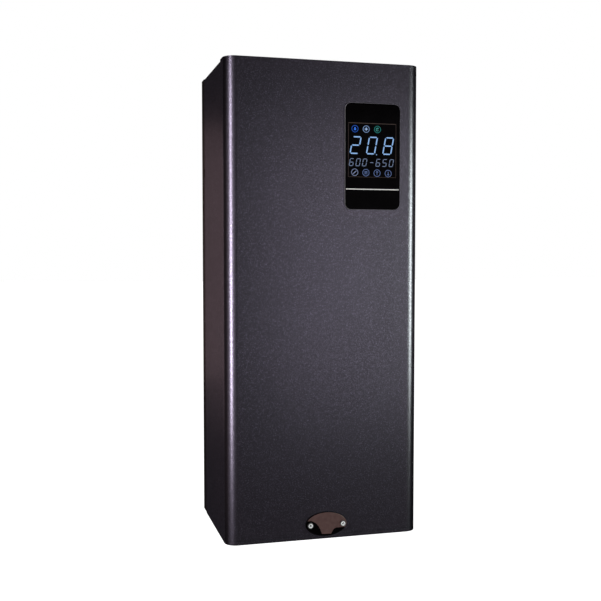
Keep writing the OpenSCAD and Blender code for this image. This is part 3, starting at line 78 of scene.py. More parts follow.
class Finish:
    """A material under construction: its node tree, its shader and short ways to add nodes."""

    def __init__(self, name, color, roughness, metallic=0.0, specular=0.5):
        self.material = bpy.data.materials.new(name)
        self.material.use_nodes = True
        self.tree = self.material.node_tree
        self.shader = self.tree.nodes["Principled BSDF"]
        self.shader.inputs["Base Color"].default_value = (*color, 1)
        self.shader.inputs["Roughness"].default_value = roughness
        self.shader.inputs["Metallic"].default_value = metallic
        self.shader.inputs["Specular IOR Level"].default_value = specular
        self.place = self.node("ShaderNodeTexCoord").outputs["Object"]

    def node(self, kind, **values):
        """A new node with its plain settings."""
        made = self.tree.nodes.new(kind)
        for key, value in values.items():
            setattr(made, key, value)
        return made

    def link(self, source, target):
        """A link from an output to an input."""
        self.tree.links.new(source, target)

    def stretched(self, scale):
        """Object coordinates scaled by three factors."""
        mapping = self.node("ShaderNodeMapping")
        mapping.inputs["Scale"].default_value = scale
        self.link(self.place, mapping.inputs["Vector"])
        return mapping.outputs["Vector"]

    def noise(self, scale, detail=2.0, roughness=0.5, stretch=None):
        """Noise value over the object, in features per metre."""
        made = self.node("ShaderNodeTexNoise")
        made.inputs["Scale"].default_value = scale
        made.inputs["Detail"].default_value = detail
        made.inputs["Roughness"].default_value = roughness
        self.link(self.stretched(stretch) if stretch else self.place, made.inputs["Vector"])
        return made.outputs["Fac"]

    def cells(self, scale):
        """Distance to the nearest of many scattered points."""
        made = self.node("ShaderNodeTexVoronoi")
        made.inputs["Scale"].default_value = scale
        self.link(self.place, made.inputs["Vector"])
        return made.outputs["Distance"]

    def ramp(self, source, stops):
        """Value or colour that follows stops of (place, grey or colour)."""
        made = self.node("ShaderNodeValToRGB")
        points = made.color_ramp.elements
        while len(points) < len(stops):
            points.new(0.5)
        for point, (where, value) in zip(points, stops):
            point.position = where
            point.color = (*value, 1) if isinstance(value, tuple) else (value, value, value, 1)
        self.link(source, made.inputs["Fac"])
        return made.outputs["Color"]

    def rough(self, source, low, high):
        """Roughness that swings between low and high with source; returns its socket."""
        made = self.node("ShaderNodeMapRange")
        made.inputs["To Min"].default_value = low
        made.inputs["To Max"].default_value = high
        self.link(source, made.inputs["Value"])
        self.link(made.outputs["Result"], self.shader.inputs["Roughness"])
        return made.outputs["Result"]

    def color(self, source, stops):
        """Base colour that follows stops of (place, colour)."""
        self.link(self.ramp(source, stops), self.shader.inputs["Base Color"])

    def bump(self, source, height, strength=1.0):
        """Surface relief of a height in metres; returns its socket."""
        made = self.node("ShaderNodeBump")
        made.inputs["Strength"].default_value = strength
        made.inputs["Distance"].default_value = height
        self.link(source, made.inputs["Height"])
        self.link(made.outputs["Normal"], self.shader.inputs["Normal"])
        return made.outputs["Normal"]


def srgb(red, green, blue):
    """Linear colour of three sRGB values from 0 to 255."""
    value = np.array((red, green, blue)) / 255.0
    return tuple(float(v) for v in np.where(value > 0.04045, ((value + 0.055) / 1.055) ** 2.4,
                                            value / 12.92))


def shade(color, factor):
    """The colour times the factor, at most 1 in each channel."""
    return tuple(min(1.0, channel * factor) for channel in color)


# Shares of the powder coat's colour that its matt ground and its flake sheen return, on the
# cover and, duller, on the frame
COVER_SHARES = (0.15, 0.87)
FRAME_SHARES = (0.5, 0.3)
# How the flakes' sheen changes as the face turns from the eye: (1 - cosine of the angle, level)
FLAKE_TRAVEL = [(0.0, 1.0), (0.23, 1.0), (0.3, 0.5), (0.36, 0.3), (0.6, 0.3), (0.72, 1.0)]


def grain_stops(color, fleck, share):
    """Stops of the coat's grain at a share of its colour: darker hollows, and specks on top."""
    return [(0.3, shade(color, share * 0.8)), (0.56, shade(color, share)),
            (0.72, shade(fleck, share))]


def powder_coat(name, color, fleck, shares):
    """Dark textured powder coat: a matt ground under flakes whose sheen is weak between square and
    grazing view, with fine orange-peel relief and small bright specks."""
    made = Finish(name, color, 0.6, 0.0, 0.0)
    matt_share, sheen_share = shares
    grain = made.noise(1100, 3.0, 0.65)
    made.color(grain, grain_stops(color, fleck, matt_share))
    relief = made.bump(made.noise(900, 2.0, 0.6), 0.00012, 0.5)
    sheen = made.node("ShaderNodeBsdfAnisotropic")
    turned = made.node("ShaderNodeMixRGB", blend_type="MULTIPLY")
    turned.inputs["Fac"].default_value = 1.0
    made.link(made.ramp(grain, grain_stops(color, fleck, sheen_share)), turned.inputs["Color1"])
    facing = made.node("ShaderNodeLayerWeight").outputs["Facing"]
    made.link(made.ramp(facing, FLAKE_TRAVEL), turned.inputs["Color2"])
    made.link(turned.outputs["Color"], sheen.inputs["Color"])
    made.link(made.rough(made.noise(1400, 1.0), 0.24, 0.34), sheen.inputs["Roughness"])
    made.link(relief, sheen.inputs["Normal"])
    both = made.node("ShaderNodeAddShader")
    made.link(made.shader.outputs["BSDF"], both.inputs[0])
    made.link(sheen.outputs["BSDF"], both.inputs[1])
    made.link(both.outputs["Shader"], made.tree.nodes["Material Output"].inputs["Surface"])
    return made.material


# How much of the white surround the black gloss returns
GLOSS_SPECULAR = 0.001


def gloss_black(name, color, roughness=0.06):
    """High-gloss black plastic with faint long waves and a little dust."""
    made = Finish(name, color, roughness, 0.0, GLOSS_SPECULAR)
    dust = made.noise(60, 4.0, 0.7)
    made.color(dust, [(0.4, shade(color, 0.8)), (0.7, shade(color, 1.3))])
    made.rough(dust, roughness, roughness + 0.05)
    made.bump(made.noise(25, 1.0), 0.00003, 0.3)
    return made.material


def moulded(name, color, roughness=0.5, grain=0.00004, specular=0.3):
    """Moulded plastic or rubber with a fine eroded texture."""
    made = Finish(name, color, roughness, 0.0, specular)
    mottle = made.noise(180, 3.0)
    made.color(mottle, [(0.3, shade(color, 0.86)), (0.7, shade(color, 1.1))])
    made.rough(made.noise(900, 2.0), roughness - 0.08, roughness + 0.08)
    made.bump(made.noise(1600, 2.0), grain, 0.6)
    return made.material


def machined(name, color, roughness, stretch):
    """Turned or drawn metal: fine lines across the stretch, slight tarnish."""
    made = Finish(name, color, roughness, 1.0)
    lines = made.noise(220, 3.0, 0.6, stretch)
    tarnish = made.noise(35, 4.0, 0.6)
    made.color(tarnish, [(0.35, shade(color, 0.78)), (0.65, shade(color, 1.05))])
    made.rough(lines, roughness - 0.07, roughness + 0.12)
    made.bump(lines, 0.00002, 0.4)
    return made.material


# Radius of a cover screw's head, and the share of it that its key socket takes, where shade is
# painted
SCREW_HEAD_R = 3.5 * MM
SHADED_SOCKET_SHARE = 0.38


def steel_with_painted_shade(name, color):
    """Bright steel of the two cover screws, with painted shade in the key socket and on the head's
    edge. The shade follows the distance from the screw's axis, sqrt((|x - middle| - half pitch)^2 +
    (z - height)^2)
    / head radius: dark with painted shade in the key socket, bright on the ring round it and duller
    with painted shade on the edge."""
    made = Finish(name, color, 0.3, 1.0)
    low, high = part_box("cover_screws")
    middle = ((low.x + high.x) / 2, 0, (low.z + high.z) / 2)
    half_pitch = (high.x - low.x) / 2 - SCREW_HEAD_R
    place = made.place
    for how, amount in (("SUBTRACT", middle), ("ABSOLUTE", None), ("SUBTRACT", (half_pitch, 0, 0)),
                        ("MULTIPLY", (1 / SCREW_HEAD_R, 0, 1 / SCREW_HEAD_R))):
        step = made.node("ShaderNodeVectorMath", operation=how)
        made.link(place, step.inputs[0])
        if amount:
            step.inputs[1].default_value = amount
        place = step.outputs["Vector"]
    reach = made.node("ShaderNodeVectorMath", operation="LENGTH")
    made.link(place, reach.inputs[0])
    # painted shade: dark in the key socket and on the head's edge, the steel's own colour between
    made.color(reach.outputs["Value"], [(0.0, shade(color, 0.05)), (SHADED_SOCKET_SHARE, shade(color, 0.1)),
                                        (SHADED_SOCKET_SHARE + 0.06, color), (0.7, color),
                                        (0.84, shade(color, 0.12))])
    made.rough(made.noise(900, 2.0), 0.26, 0.36)
    made.bump(made.noise(1200, 2.0), 0.00002, 0.3)
    return made.material


def zinc_plate(name, color):
    """Bright zinc plating with faint spangle."""
    made = Finish(name, color, 0.34, 1.0)
    made.color(made.cells(260), [(0.0, shade(color, 0.9)), (0.8, shade(color, 1.08))])
    made.rough(made.noise(300, 3.0), 0.26, 0.44)
    made.bump(made.noise(500, 2.0), 0.00002, 0.3)
    return made.material


def foam_sheet(name, color):
    """Closed-cell foam: matt, with small cells."""
    made = Finish(name, color, 0.85, 0.0, 0.2)
    cell = made.cells(700)
    made.color(cell, [(0.0, shade(color, 1.5)), (0.6, shade(color, 0.8))])
    made.bump(cell, 0.0003, 0.7)
    return made.material


def circuit_board(name, color):
    """Green solder mask with copper tracks that shine through."""
    made = Finish(name, color, 0.3)
    tracks = made.node("ShaderNodeTexBrick")
    tracks.inputs["Scale"].default_value = 120
    tracks.inputs["Mortar Size"].default_value = 0.03
    turn = made.node("ShaderNodeMapping")
    turn.inputs["Rotation"].default_value = (math.radians(90), 0, 0)
    made.link(made.place, turn.inputs["Vector"])
    made.link(turn.outputs["Vector"], tracks.inputs["Vector"])
    made.color(tracks.outputs["Fac"], [(0.0, color), (1.0, shade(color, 2.2))])
    made.rough(made.noise(200, 2.0), 0.22, 0.4)
    made.bump(tracks.outputs["Fac"], 0.00005, 0.5)
    return made.material


def lit(name, color, strength):
    """Light that comes through a digit or ring of the display."""
    made = Finish(name, shade(color, 0.05), 0.3, 0.0, 0.01)
    wave = made.noise(700, 2.0)
    glow = made.ramp(wave, [(0.3, shade(color, 0.86)), (0.7, shade(color, 1.08))])
    made.link(glow, made.shader.inputs["Emission Color"])
    made.shader.inputs["Emission Strength"].default_value = strength
    made.color(wave, [(0.3, shade(color, 0.04)), (0.7, shade(color, 0.06))])
    made.rough(wave, 0.25, 0.4)
    made.bump(wave, 0.00001, 0.3)
    return made.material


COVER_COLOR = srgb(21, 19, 23)
FLECK_COLOR = srgb(47, 44, 52)
finishes = {
    "cover_paint": powder_coat("cover_paint", COVER_COLOR, FLECK_COLOR, COVER_SHARES),
    "frame_paint": powder_coat("frame_paint", srgb(22, 19, 20), srgb(54, 49, 52), FRAME_SHARES),
    "zinc": zinc_plate("zinc", srgb(190, 192, 196)),
    "stainless": machined("stainless", srgb(188, 188, 186), 0.28, (1, 1, 30)),
    "screw_steel": steel_with_painted_shade("screw_steel", srgb(138, 137, 139)),
    "panel_gloss": gloss_black("panel_gloss", srgb(5, 4, 5)),
    "badge_gloss": gloss_black("badge_gloss", srgb(6, 5, 6), 0.1),
    "badge_plate": moulded("badge_plate", srgb(84, 64, 62), 0.42, 0.00006, 0.01),
    "black_plastic": moulded("black_plastic", srgb(34, 34, 36), 0.5),
    "digit_plastic": moulded("digit_plastic", srgb(52, 54, 60), 0.3),
    "board_green": circuit_board("board_green", srgb(24, 84, 52)),
    "connector_green": moulded("connector_green", srgb(52, 140, 70), 0.4),
    "component_dark": moulded("component_dark", srgb(36, 37, 42), 0.38),
    "post_rubber": moulded("post_rubber", srgb(48, 48, 50), 0.75),
    "foam": foam_sheet("foam", srgb(72, 72, 76)),
    "brass": machined("brass", srgb(206, 166, 92), 0.26, (30, 30, 1)),
    "copper": machined("copper", srgb(196, 120, 84), 0.3, (1, 1, 20)),
    "element_sheath": machined("element_sheath", srgb(150, 146, 140), 0.36, (1, 1, 12)),
    "aluminium": machined("aluminium", srgb(198, 200, 203), 0.34, (30, 1, 1)),
    "knob_red": moulded("knob_red", srgb(178, 30, 26), 0.38),
    "sensor_body": moulded("sensor_body", srgb(58, 62, 70), 0.45),
    "cream_plastic": moulded("cream_plastic", srgb(226, 220, 200), 0.45),
    "grey_plastic": moulded("grey_plastic", srgb(120, 124, 128), 0.45),
    "light_plastic": moulded("light_plastic", srgb(200, 202, 204), 0.45),
    "earth_green": moulded("earth_green", srgb(86, 140, 52), 0.45),
    "gland_plastic": moulded("gland_plastic", srgb(66, 68, 72), 0.5),
    "seal_rubber": moulded("seal_rubber", srgb(26, 26, 28), 0.8),
    "wire_black": moulded("wire_black", srgb(26, 26, 28), 0.42),
    "wire_grey": moulded("wire_grey", srgb(150, 150, 148), 0.45),
    "wire_earth": moulded("wire_earth", srgb(120, 150, 36), 0.42),
}
for node in nodes.values():
    for holder in node.material_slots:
        holder.material = finishes[holder.material.name.split(".")[0]]


def grid_faces(rows, cols, wrap=False, wrap_rows=False):
    """Quads of a grid of rows by cols points; wrap joins the last column to the first, and
    wrap_rows the last row to the first."""
    last = cols if wrap else cols - 1
    last_row = rows if wrap_rows else rows - 1
    row, col = np.meshgrid(np.arange(last_row), np.arange(last), indexing="ij")
    after = (col + 1) % cols
    below = (row + 1) % rows
    quads = np.stack((row * cols + col, row * cols + after, below * cols + after,
                      below * cols + col), axis=-1)
    return quads.reshape(-1, 4)


# Points closer than this, in metres, are one point
WELD = 1e-6


def make_piece(name, parts, body, material, smooth=True):
    """One mesh object of several (points, faces) parts, which rides on a body. Points that fall
    together are welded, so loops close at their seams and tubes at their poles."""
    points = np.concatenate([part[0] for part in parts])
    starts = np.cumsum([0] + [len(part[0]) for part in parts[:-1]])
    faces = np.concatenate([part[1] + start for part, start in zip(parts, starts)])
    mesh = bpy.data.meshes.new(name)
    mesh.from_pydata(points.tolist(), [], faces.tolist())
    sheet = bmesh.new()
    sheet.from_mesh(mesh)
    bmesh.ops.remove_doubles(sheet, verts=sheet.verts, dist=WELD)
    sheet.to_mesh(mesh)
    sheet.free()
    if smooth:
        mesh.shade_smooth()
    mesh.materials.append(material)
    piece = bpy.data.objects.new(name, mesh)
    bpy.context.scene.collection.objects.link(piece)
    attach(piece, body)
    return piece


def stroke(path, widths, closed=False):
    """Flat strip along a path in X and Z on the panel: each point steps half a width to the left
    and right of the path's direction, which is the difference of its two neighbours."""
    path = np.asarray(path, float)
    if closed:
        ahead = np.roll(path, -1, axis=0)
        behind = np.roll(path, 1, axis=0)
    else:
        ahead = np.concatenate((path[1:], path[-1:]))
        behind = np.concatenate((path[:1], path[:-1]))
    along = ahead - behind
    along /= np.linalg.norm(along, axis=1, keepdims=True)
    side = np.stack((-along[:, 1], along[:, 0]), axis=1)
    half = np.broadcast_to(np.asarray(widths, float) / 2, len(path))[:, None]
    edges = np.stack((path - half * side, path + half * side), axis=1)
    if closed:
        edges = np.concatenate((edges, edges[:1]))
    flat = edges.reshape(-1, 2)
    points = np.stack((flat[:, 0], np.zeros(len(flat)), flat[:, 1]), axis=1)
    return points, grid_faces(len(edges), 2)


def ring(center, radius, width, start=0.0, turn=360.0, steps=48):
    """Strip along an arc: centre plus radius times cosine and sine of the angle."""
    angles = np.radians(np.linspace(start, start + turn, steps + 1))
    path = np.stack((center[0] + radius * np.cos(angles), center[1] + radius * np.sin(angles)),
                    axis=1)
    if turn == 360.0:
        return stroke(path[:-1], width, closed=True)
    return stroke(path, width)


# Width of the tip of a bar as a share of the bar's own width
BAR_TIP = 0.2


def bar(a, b, width):
    """Strip from a to b that narrows to its tip's width over the last half width."""
    a = np.asarray(a, float)
    b = np.asarray(b, float)
    tip = (b - a) / np.linalg.norm(b - a) * width / 2
    return stroke((a, a + tip, b - tip, b), (width * BAR_TIP, width, width, width * BAR_TIP))


# Corners of a digit as shares of its width and height, and the strips that each numeral lights
DIGIT_CORNERS = {"a": ((0, 1), (1, 1)), "b": ((1, 1), (1, 0.5)), "c": ((1, 0.5), (1, 0)),
                 "d": ((0, 0), (1, 0)), "e": ((0, 0.5), (0, 0)), "f": ((0, 1), (0, 0.5)),
                 "g": ((0, 0.5), (1, 0.5))}
NUMERALS = {"0": "abcdef", "2": "abged", "5": "afgcd", "6": "afgedc", "8": "abcdefg", "-": "g"}
# How far a numeral leans to the right for its height, and the gap at each end of a strip as a
# share of the strip
DIGIT_SLANT = 0.19
DIGIT_GAP = 0.06


def numeral(sign, left, low, width, height, thick):
    """Lit strips of one numeral. A strip's end is its corner's shares times the width and height,
    moved inwards by the gap, then right by the left edge plus the slant times its own height."""
    strips = []
    for key in NUMERALS[sign]:
        ends = np.array(DIGIT_CORNERS[key], float)
        gap = DIGIT_GAP * (ends[1] - ends[0])
        ends = np.array((ends[0] + gap, ends[1] - gap)) * (width, height)
        ends[:, 0] += left + DIGIT_SLANT * ends[:, 1]
        ends[:, 1] += low
        strips.append(bar(ends[0], ends[1], thick))
    return strips


# Thickness of print
PRINT_THICK = 0.04 * MM


def printed(name, strips, material, lift):
    """Strips drawn in mm from the case's middle and bottom edge. Each point keeps its x, its z is
    counted from the bottom edge, and its y is the panel's face less the lift; the thickness goes
    towards the panel."""
    bottom = cover_low.z / MM
    parts = []
    for points, faces in strips:
        placed = (points + (0, 0, bottom)) * MM
        placed[:, 1] = panel_low.y - lift
        parts.append((placed, faces[:, ::-1]))
    piece = make_piece(name, parts, "cover", material, smooth=False)
    wall = piece.modifiers.new("thickness", "SOLIDIFY")
    wall.thickness = PRINT_THICK
    wall.offset = -1


# Layers of print on the panel's face: how far each stands off it
INK_LIFT = 0.05 * MM
GLOW_LIFT = 0.06 * MM
# Numerals in mm: foot, width, height and stroke, then each sign with its left edge; last, the
# decimal point as left, right and height, and its size
BIG_SIGNS = (486.6, 10.6, 20.6, 1.5)
BIG_TEXT = (("2", 32.2), ("0", 53.8), ("8", 75.5))
SMALL_SIGNS = (471.2, 4.8, 8.8, 0.72)
SMALL_TEXT = (("6", 30.9), ("0", 39.6), ("0", 48.2), ("-", 57.6), ("6", 66.1), ("5", 74.8),
              ("0", 83.8))
POINT_PLACE = (66.6, 67.7, 485.6)
POINT_SIZE = 1.1
# Rings of the status row: height, places, radius and stroke
STATUS_Z = 517.2
STATUS_X = (38.6, 53.4, 68.4)
RING_R = 4.1
RING_STROKE = 0.6
SIGN_STROKE = 0.6
# Drop in its ring: radius in mm, how much higher its point is, how much its sides draw in towards
# the point, how far it sits under the ring's middle, stroke and number of points
DROP_R = 1.0
DROP_POINT = 1.2
DROP_TAPER = 0.25
DROP_SINK = 0.5
DROP_STROKE = 0.8
DROP_STEPS = 24
# Sun: radius of its disc and of its rays' ends
SUN_R = 1.3
RAY_R = 2.6
# Pump wheel: radius, start and turn of its arc in degrees, and the end of its spoke
WHEEL_R = 1.8
WHEEL_ARC = (60, 250)
WHEEL_SPOKE = (1.2, 1.9)
# Touch keys: (x, z) of each, radius and stroke, then the signs in them
KEY_PLACES = ((38.4, 463.1), (53.2, 462.9), (68.0, 462.6), (82.9, 462.4))
KEY_R = 4.2
KEY_STROKE = 0.6
SLASH_REACH = (2.3, 2.0)
SLASH_STROKE = 0.9
BAR_STEP = 1.5
BAR_REACH = 2.0
ARROW_REACH = 2.4
ARROW_BARB = 1.6
ARROW_HALF = 1.4
# Window frame as left, low, right and high, its strokes, and the white line under it as left,
# right, height and stroke
WINDOW = (30.0, 457.4, 93.1, 524.4)
WINDOW_STROKE = 0.4
WINDOW_TOP_STROKE = 0.8
STRIPE = (26.9, 97.2, 442.1, 1.1)


def display():
    """Lit numerals, status rings, touch rings, the window's frame and the white line, each a set of
    strips on the panel's face."""
    big = []
    foot, width, height, thick = BIG_SIGNS
    for sign, left in BIG_TEXT:
        big += numeral(sign, left, foot, width, height, thick)
    left, right, point_z = POINT_PLACE
    big.append(stroke(((left, point_z), (right, point_z)), POINT_SIZE))
    printed("temperature_numerals", big, lit("display_bright", srgb(140, 180, 230), 1.0),
            GLOW_LIFT)
    small = []
    foot, width, height, thick = SMALL_SIGNS
    for sign, left in SMALL_TEXT:
        small += numeral(sign, left, foot, width, height, thick)
    printed("pressure_numerals", small, lit("display_dim", srgb(124, 140, 172), 0.9), GLOW_LIFT)
    status_rings()
    touch_keys()
    left, low, right, high = WINDOW
    half = WINDOW_STROKE / 2
    frame_line = [stroke(((left, low), (left, high)), WINDOW_STROKE),
                  stroke(((right, low), (right, high)), WINDOW_STROKE),
                  stroke(((left - half, high), (right + half, high)), WINDOW_TOP_STROKE),
                  stroke(((left - half, low), (right + half, low)), WINDOW_STROKE)]
    printed("window_outline", frame_line,
            moulded("window_ink", srgb(74, 64, 61), 0.4, 0.00002, 0.0), INK_LIFT)
    left, right, line_z, thick = STRIPE
    printed("panel_stripe", [stroke(((left, line_z), (right, line_z)), thick)],
            moulded("stripe_ink", srgb(236, 236, 233), 0.4, 0.00002, 0.0), INK_LIFT)


def status_rings():
    """Three rings, each with a brighter sign in it: a drop, a sun and a pump wheel. The drop is
    R cos t (1 - taper up) across and R sin t (1 + point up^3) high, with up = sin t, at least 0."""
    high = STATUS_Z
    water_x, heat_x, pump_x = STATUS_X
    angle = np.linspace(0, 2 * math.pi, DROP_STEPS, endpoint=False)
    upper = np.maximum(np.sin(angle), 0)
    drop = np.stack((water_x + DROP_R * np.cos(angle) * (1 - DROP_TAPER * upper),
                     high - DROP_SINK + DROP_R * np.sin(angle) * (1 + DROP_POINT * upper ** 3)),
                    axis=1)
    spoke_x, spoke_z = WHEEL_SPOKE
    rays = [bar((heat_x + SUN_R * way_x, high + SUN_R * way_z),
                (heat_x + RAY_R * way_x, high + RAY_R * way_z), SIGN_STROKE)
            for way_x, way_z in ((0, 1), (0, -1), (1, 0), (-1, 0))]
    signs = (("water", water_x, srgb(34, 84, 178), srgb(52, 124, 250),
              [stroke(drop, DROP_STROKE, closed=True)]),
             ("heat", heat_x, srgb(126, 154, 200), srgb(150, 178, 218),
              [ring((heat_x, high), SUN_R / 2, SUN_R)] + rays),
             ("pump", pump_x, srgb(36, 124, 120), srgb(72, 160, 150),
              [ring((pump_x, high), WHEEL_R, SIGN_STROKE, *WHEEL_ARC),
               bar((pump_x, high), (pump_x + spoke_x, high + spoke_z), SIGN_STROKE)]))
    for name, x, ring_color, sign_color, sign in signs:
        printed(name + "_ring", [ring((x, high), RING_R, RING_STROKE)],
                lit(name + "_ring_light", ring_color, 1.0), GLOW_LIFT)
        printed(name + "_sign", sign, lit(name + "_sign_light", sign_color, 1.0), GLOW_LIFT)


def touch_keys():
    """Four rings with a slash, three bars, an arrow up and an arrow down. An arrow's shaft reaches
    as far up as down, and its barbs go back and out from the tip."""
    (x, z), (bars_x, bars_z), (up_x, up_z), (down_x, down_z) = KEY_PLACES
    reach_x, reach_z = SLASH_REACH
    printed("power_key", [ring(KEY_PLACES[0], KEY_R, KEY_STROKE),
                          stroke(((x - reach_x, z - reach_z), (x + reach_x, z + reach_z)),
                                 SLASH_STROKE)],
            lit("touch_pale", srgb(122, 134, 168), 1.0), GLOW_LIFT)
    keys = [ring(place, KEY_R, KEY_STROKE) for place in KEY_PLACES[1:]]
    for step in (-BAR_STEP, 0.0, BAR_STEP):
        keys.append(stroke(((bars_x - BAR_REACH, bars_z + step), (bars_x + BAR_REACH, bars_z + step)),
                           SIGN_STROKE))
    for arrow_x, arrow_z, way in ((up_x, up_z, 1), (down_x, down_z, -1)):
        tip = arrow_z + way * ARROW_REACH
        barb = tip - way * ARROW_BARB
        keys.append(stroke(((arrow_x, arrow_z - ARROW_REACH), (arrow_x, arrow_z + ARROW_REACH)),
                           SIGN_STROKE))
        keys.append(stroke(((arrow_x - ARROW_HALF, barb), (arrow_x, tip),
                            (arrow_x + ARROW_HALF, barb)), SIGN_STROKE))
    printed("touch_rings", keys, lit("touch_blue", srgb(92, 112, 160), 1.0), GLOW_LIFT)


# The panel's edge in mm: corner radius, then how far the black border reaches past the panel's
# left and lower edges
PANEL_CORNER = 8.0
BORDER_PAST = (0.7, 0.5)
# Sections of the border and of the clear rim, whose pale grey is a painted highlight, as (inset,
# depth) round a loop
BORDER_SECTION = ((0.26, 1.9), (0.26, 0.16), (0.45, -0.02), (1.5, -0.03), (1.6, 0.1), (1.2, 0.8),
                  (0.8, 1.9))
RIM_SECTION = ((0.0, 1.9), (0.0, 0.5), (0.26, 0.14), (0.3, 0.3), (0.3, 1.9))


def rounded_outline(width, height, radius, inset, steps=12):
    """Outline of a rounded rectangle about its middle: for each corner, the corner's centre plus
    the radius less the inset times the cosine and sine of an angle that runs through 90 degrees."""
    quarter = np.linspace(0, math.pi / 2, steps)
    angle = np.concatenate([quarter + turn * math.pi / 2 for turn in range(4)])
    side_x = np.repeat((1, -1, -1, 1), steps) * (width / 2 - radius)
    side_z = np.repeat((1, 1, -1, -1), steps) * (height / 2 - radius)
    reach = radius - inset
    return np.stack((side_x + reach * np.cos(angle), side_z + reach * np.sin(angle)), axis=1)


def edge_loop(section):
    """Closed section (inset, depth) carried round the panel's outline, grown by how far the border
    reaches past it: the point is outline(inset, angle), as far behind the face as the depth."""
    past_x, past_z = BORDER_PAST
    size = (panel_high - panel_low) / MM
    middle = (panel_high + panel_low) / 2 / MM
    rows = []
    for inset, depth in section:
        flat = rounded_outline(size.x + past_x, size.z + past_z, PANEL_CORNER, inset)
        rows.append(np.stack((middle.x - past_x / 2 + flat[:, 0],
                              np.full(len(flat), panel_low.y / MM + depth),
                              middle.z - past_z / 2 + flat[:, 1]), axis=1))
    return np.concatenate(rows) * MM, grid_faces(len(rows), len(rows[0]), wrap=True, wrap_rows=True)


def panel_edge():
    """Black border of the panel and the clear rim round it, each a section carried round. The rim's
    pale grey is a painted highlight along the panel's bevel.
    """
    make_piece("panel_border", [edge_loop(BORDER_SECTION)], "cover",
               finishes["panel_gloss"], smooth=False)
    # pale grey rim: a painted highlight, standing for light caught on the panel's bevel
    make_piece("panel_rim", [edge_loop(RIM_SECTION)], "cover",
               moulded("rim_painted_highlight", srgb(112, 110, 114), 0.4, 0.00002, 0.05), smooth=False)


# Badge plate in mm about the badge's middle: half width and half height of the oval that bounds
# it, the (x, z) points of its lower edge, the width of its bevelled edge and how deep that goes
PLATE_HALF = (26.5, 15.0)
# the lower edge stops where the dished badge falls into shade; the black bezel left bare below it is
# painted shade
PLATE_FOOT = ((-26.5, 5.4), (-24.0, 5.4), (-19.3, 5.2), (-13.9, 2.2), (-10.2, -2.2),
              (-8.0, -6.4), (-6.0, -12.2), (6.2, -12.6), (7.2, -10.6), (9.6, -6.8), (12.8, -5.4),
              (26.5, -5.2))
PLATE_BEVEL = (0.7, 0.4)
# The bevel takes at most this share of the plate's height in a column
PLATE_BEVEL_SHARE = 0.3
PLATE_COLUMNS = 161


def badge_face():
    """Plate on the badge. Its columns run in x as (1 - cos t) / 2 from tip to tip; in each, z goes
    from the foot line, never below the oval, to the oval's crest, half height times
    sqrt(1 - (x / half width)^2), and the front steps in by the bevel. Both tips are points. Under the
    foot line the black bezel is left bare as painted shade of the badge's steep lower part."""
    half_w, half_h = PLATE_HALF
    foot_x, foot_z = np.array(PLATE_FOOT).T
    tip = -half_w * math.sqrt(1 - (foot_z[0] / half_h) ** 2)
    x = tip + (half_w - tip) * (1 - np.cos(np.linspace(0, math.pi, PLATE_COLUMNS))) / 2
    crest = half_h * np.sqrt(np.maximum(0, 1 - (x / half_w) ** 2))
    foot = np.minimum(np.maximum(np.interp(x, foot_x, foot_z), -crest), crest)
    width, depth = PLATE_BEVEL
    step = np.minimum(width, PLATE_BEVEL_SHARE * (crest - foot))
    front = plate_low.y / MM
    back = plate_high.y / MM
    middle = (front + back) / 2
    spread = np.ones(PLATE_COLUMNS)
    spread[[0, -1]] = 0.0
    rows = []
    for y, z in ((back, foot), (front + depth, foot), (front, foot + step), (front, crest - step),
                 (front + depth, crest), (back, crest)):
        rows.append(np.stack((x, middle + (y - middle) * spread, z), axis=1))
    center = (badge_low + badge_high) / 2 / MM
    points = (np.concatenate(rows) + (center.x, 0, center.z)) * MM
    faces = grid_faces(len(rows), PLATE_COLUMNS, wrap_rows=True)
    piece = make_piece("badge_face", [(points, faces)], "cover",
                       finishes["badge_plate"], smooth=False)
    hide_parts("badge_plate")


# A direction in which no lead runs, from which the rings across a lead are turned
RING_TURN = (0.37, 0.61, 0.29)
# Points of a route closer than this, in mm, are one point
SAME_POINT = 1e-6


def tube(route, radius, bend, sides=14, steps=9):
    """Round lead along a route in mm, with z from the case's bottom edge. Each corner is replaced
    by a quadratic curve between the points at the bend distance on either side; then rings of
    radius times cosine and sine stand across the route, and a ring of no radius at each end closes
    it in a point."""
    p = np.asarray(route, float) + (0, 0, cover_low.z / MM)
    before = p[:-2] - p[1:-1]
    after = p[2:] - p[1:-1]
    start = p[1:-1] + bend * before / np.linalg.norm(before, axis=1, keepdims=True)
    stop = p[1:-1] + bend * after / np.linalg.norm(after, axis=1, keepdims=True)
    t = np.linspace(0, 1, steps)[None, :, None]
    curve = (1 - t) ** 2 * start[:, None] + 2 * t * (1 - t) * p[1:-1, None] + t ** 2 * stop[:, None]
    line = np.concatenate((p[:1], curve.reshape(-1, 3), p[-1:]))
    gaps = np.linalg.norm(np.diff(line, axis=0), axis=1)
    keep = np.concatenate(([True], gaps > SAME_POINT))
    line = line[keep]
    along = np.gradient(line, axis=0)
    along /= np.linalg.norm(along, axis=1, keepdims=True)
    across = np.cross(along, RING_TURN)
    across /= np.linalg.norm(across, axis=1, keepdims=True)
    third = np.cross(along, across)
    angle = np.linspace(0, 2 * math.pi, sides, endpoint=False)[None, :, None]
    size = np.full(len(line), radius)
    line = np.concatenate((line[:1], line, line[-1:]))
    across = np.concatenate((across[:1], across, across[-1:]))[:, None]
    third = np.concatenate((third[:1], third, third[-1:]))[:, None]
    size = np.concatenate(((0,), size, (0,)))[:, None, None]
    points = line[:, None] + size * (np.cos(angle) * across + np.sin(angle) * third)
    return points.reshape(-1, 3) * MM, grid_faces(len(line), sides, wrap=True)


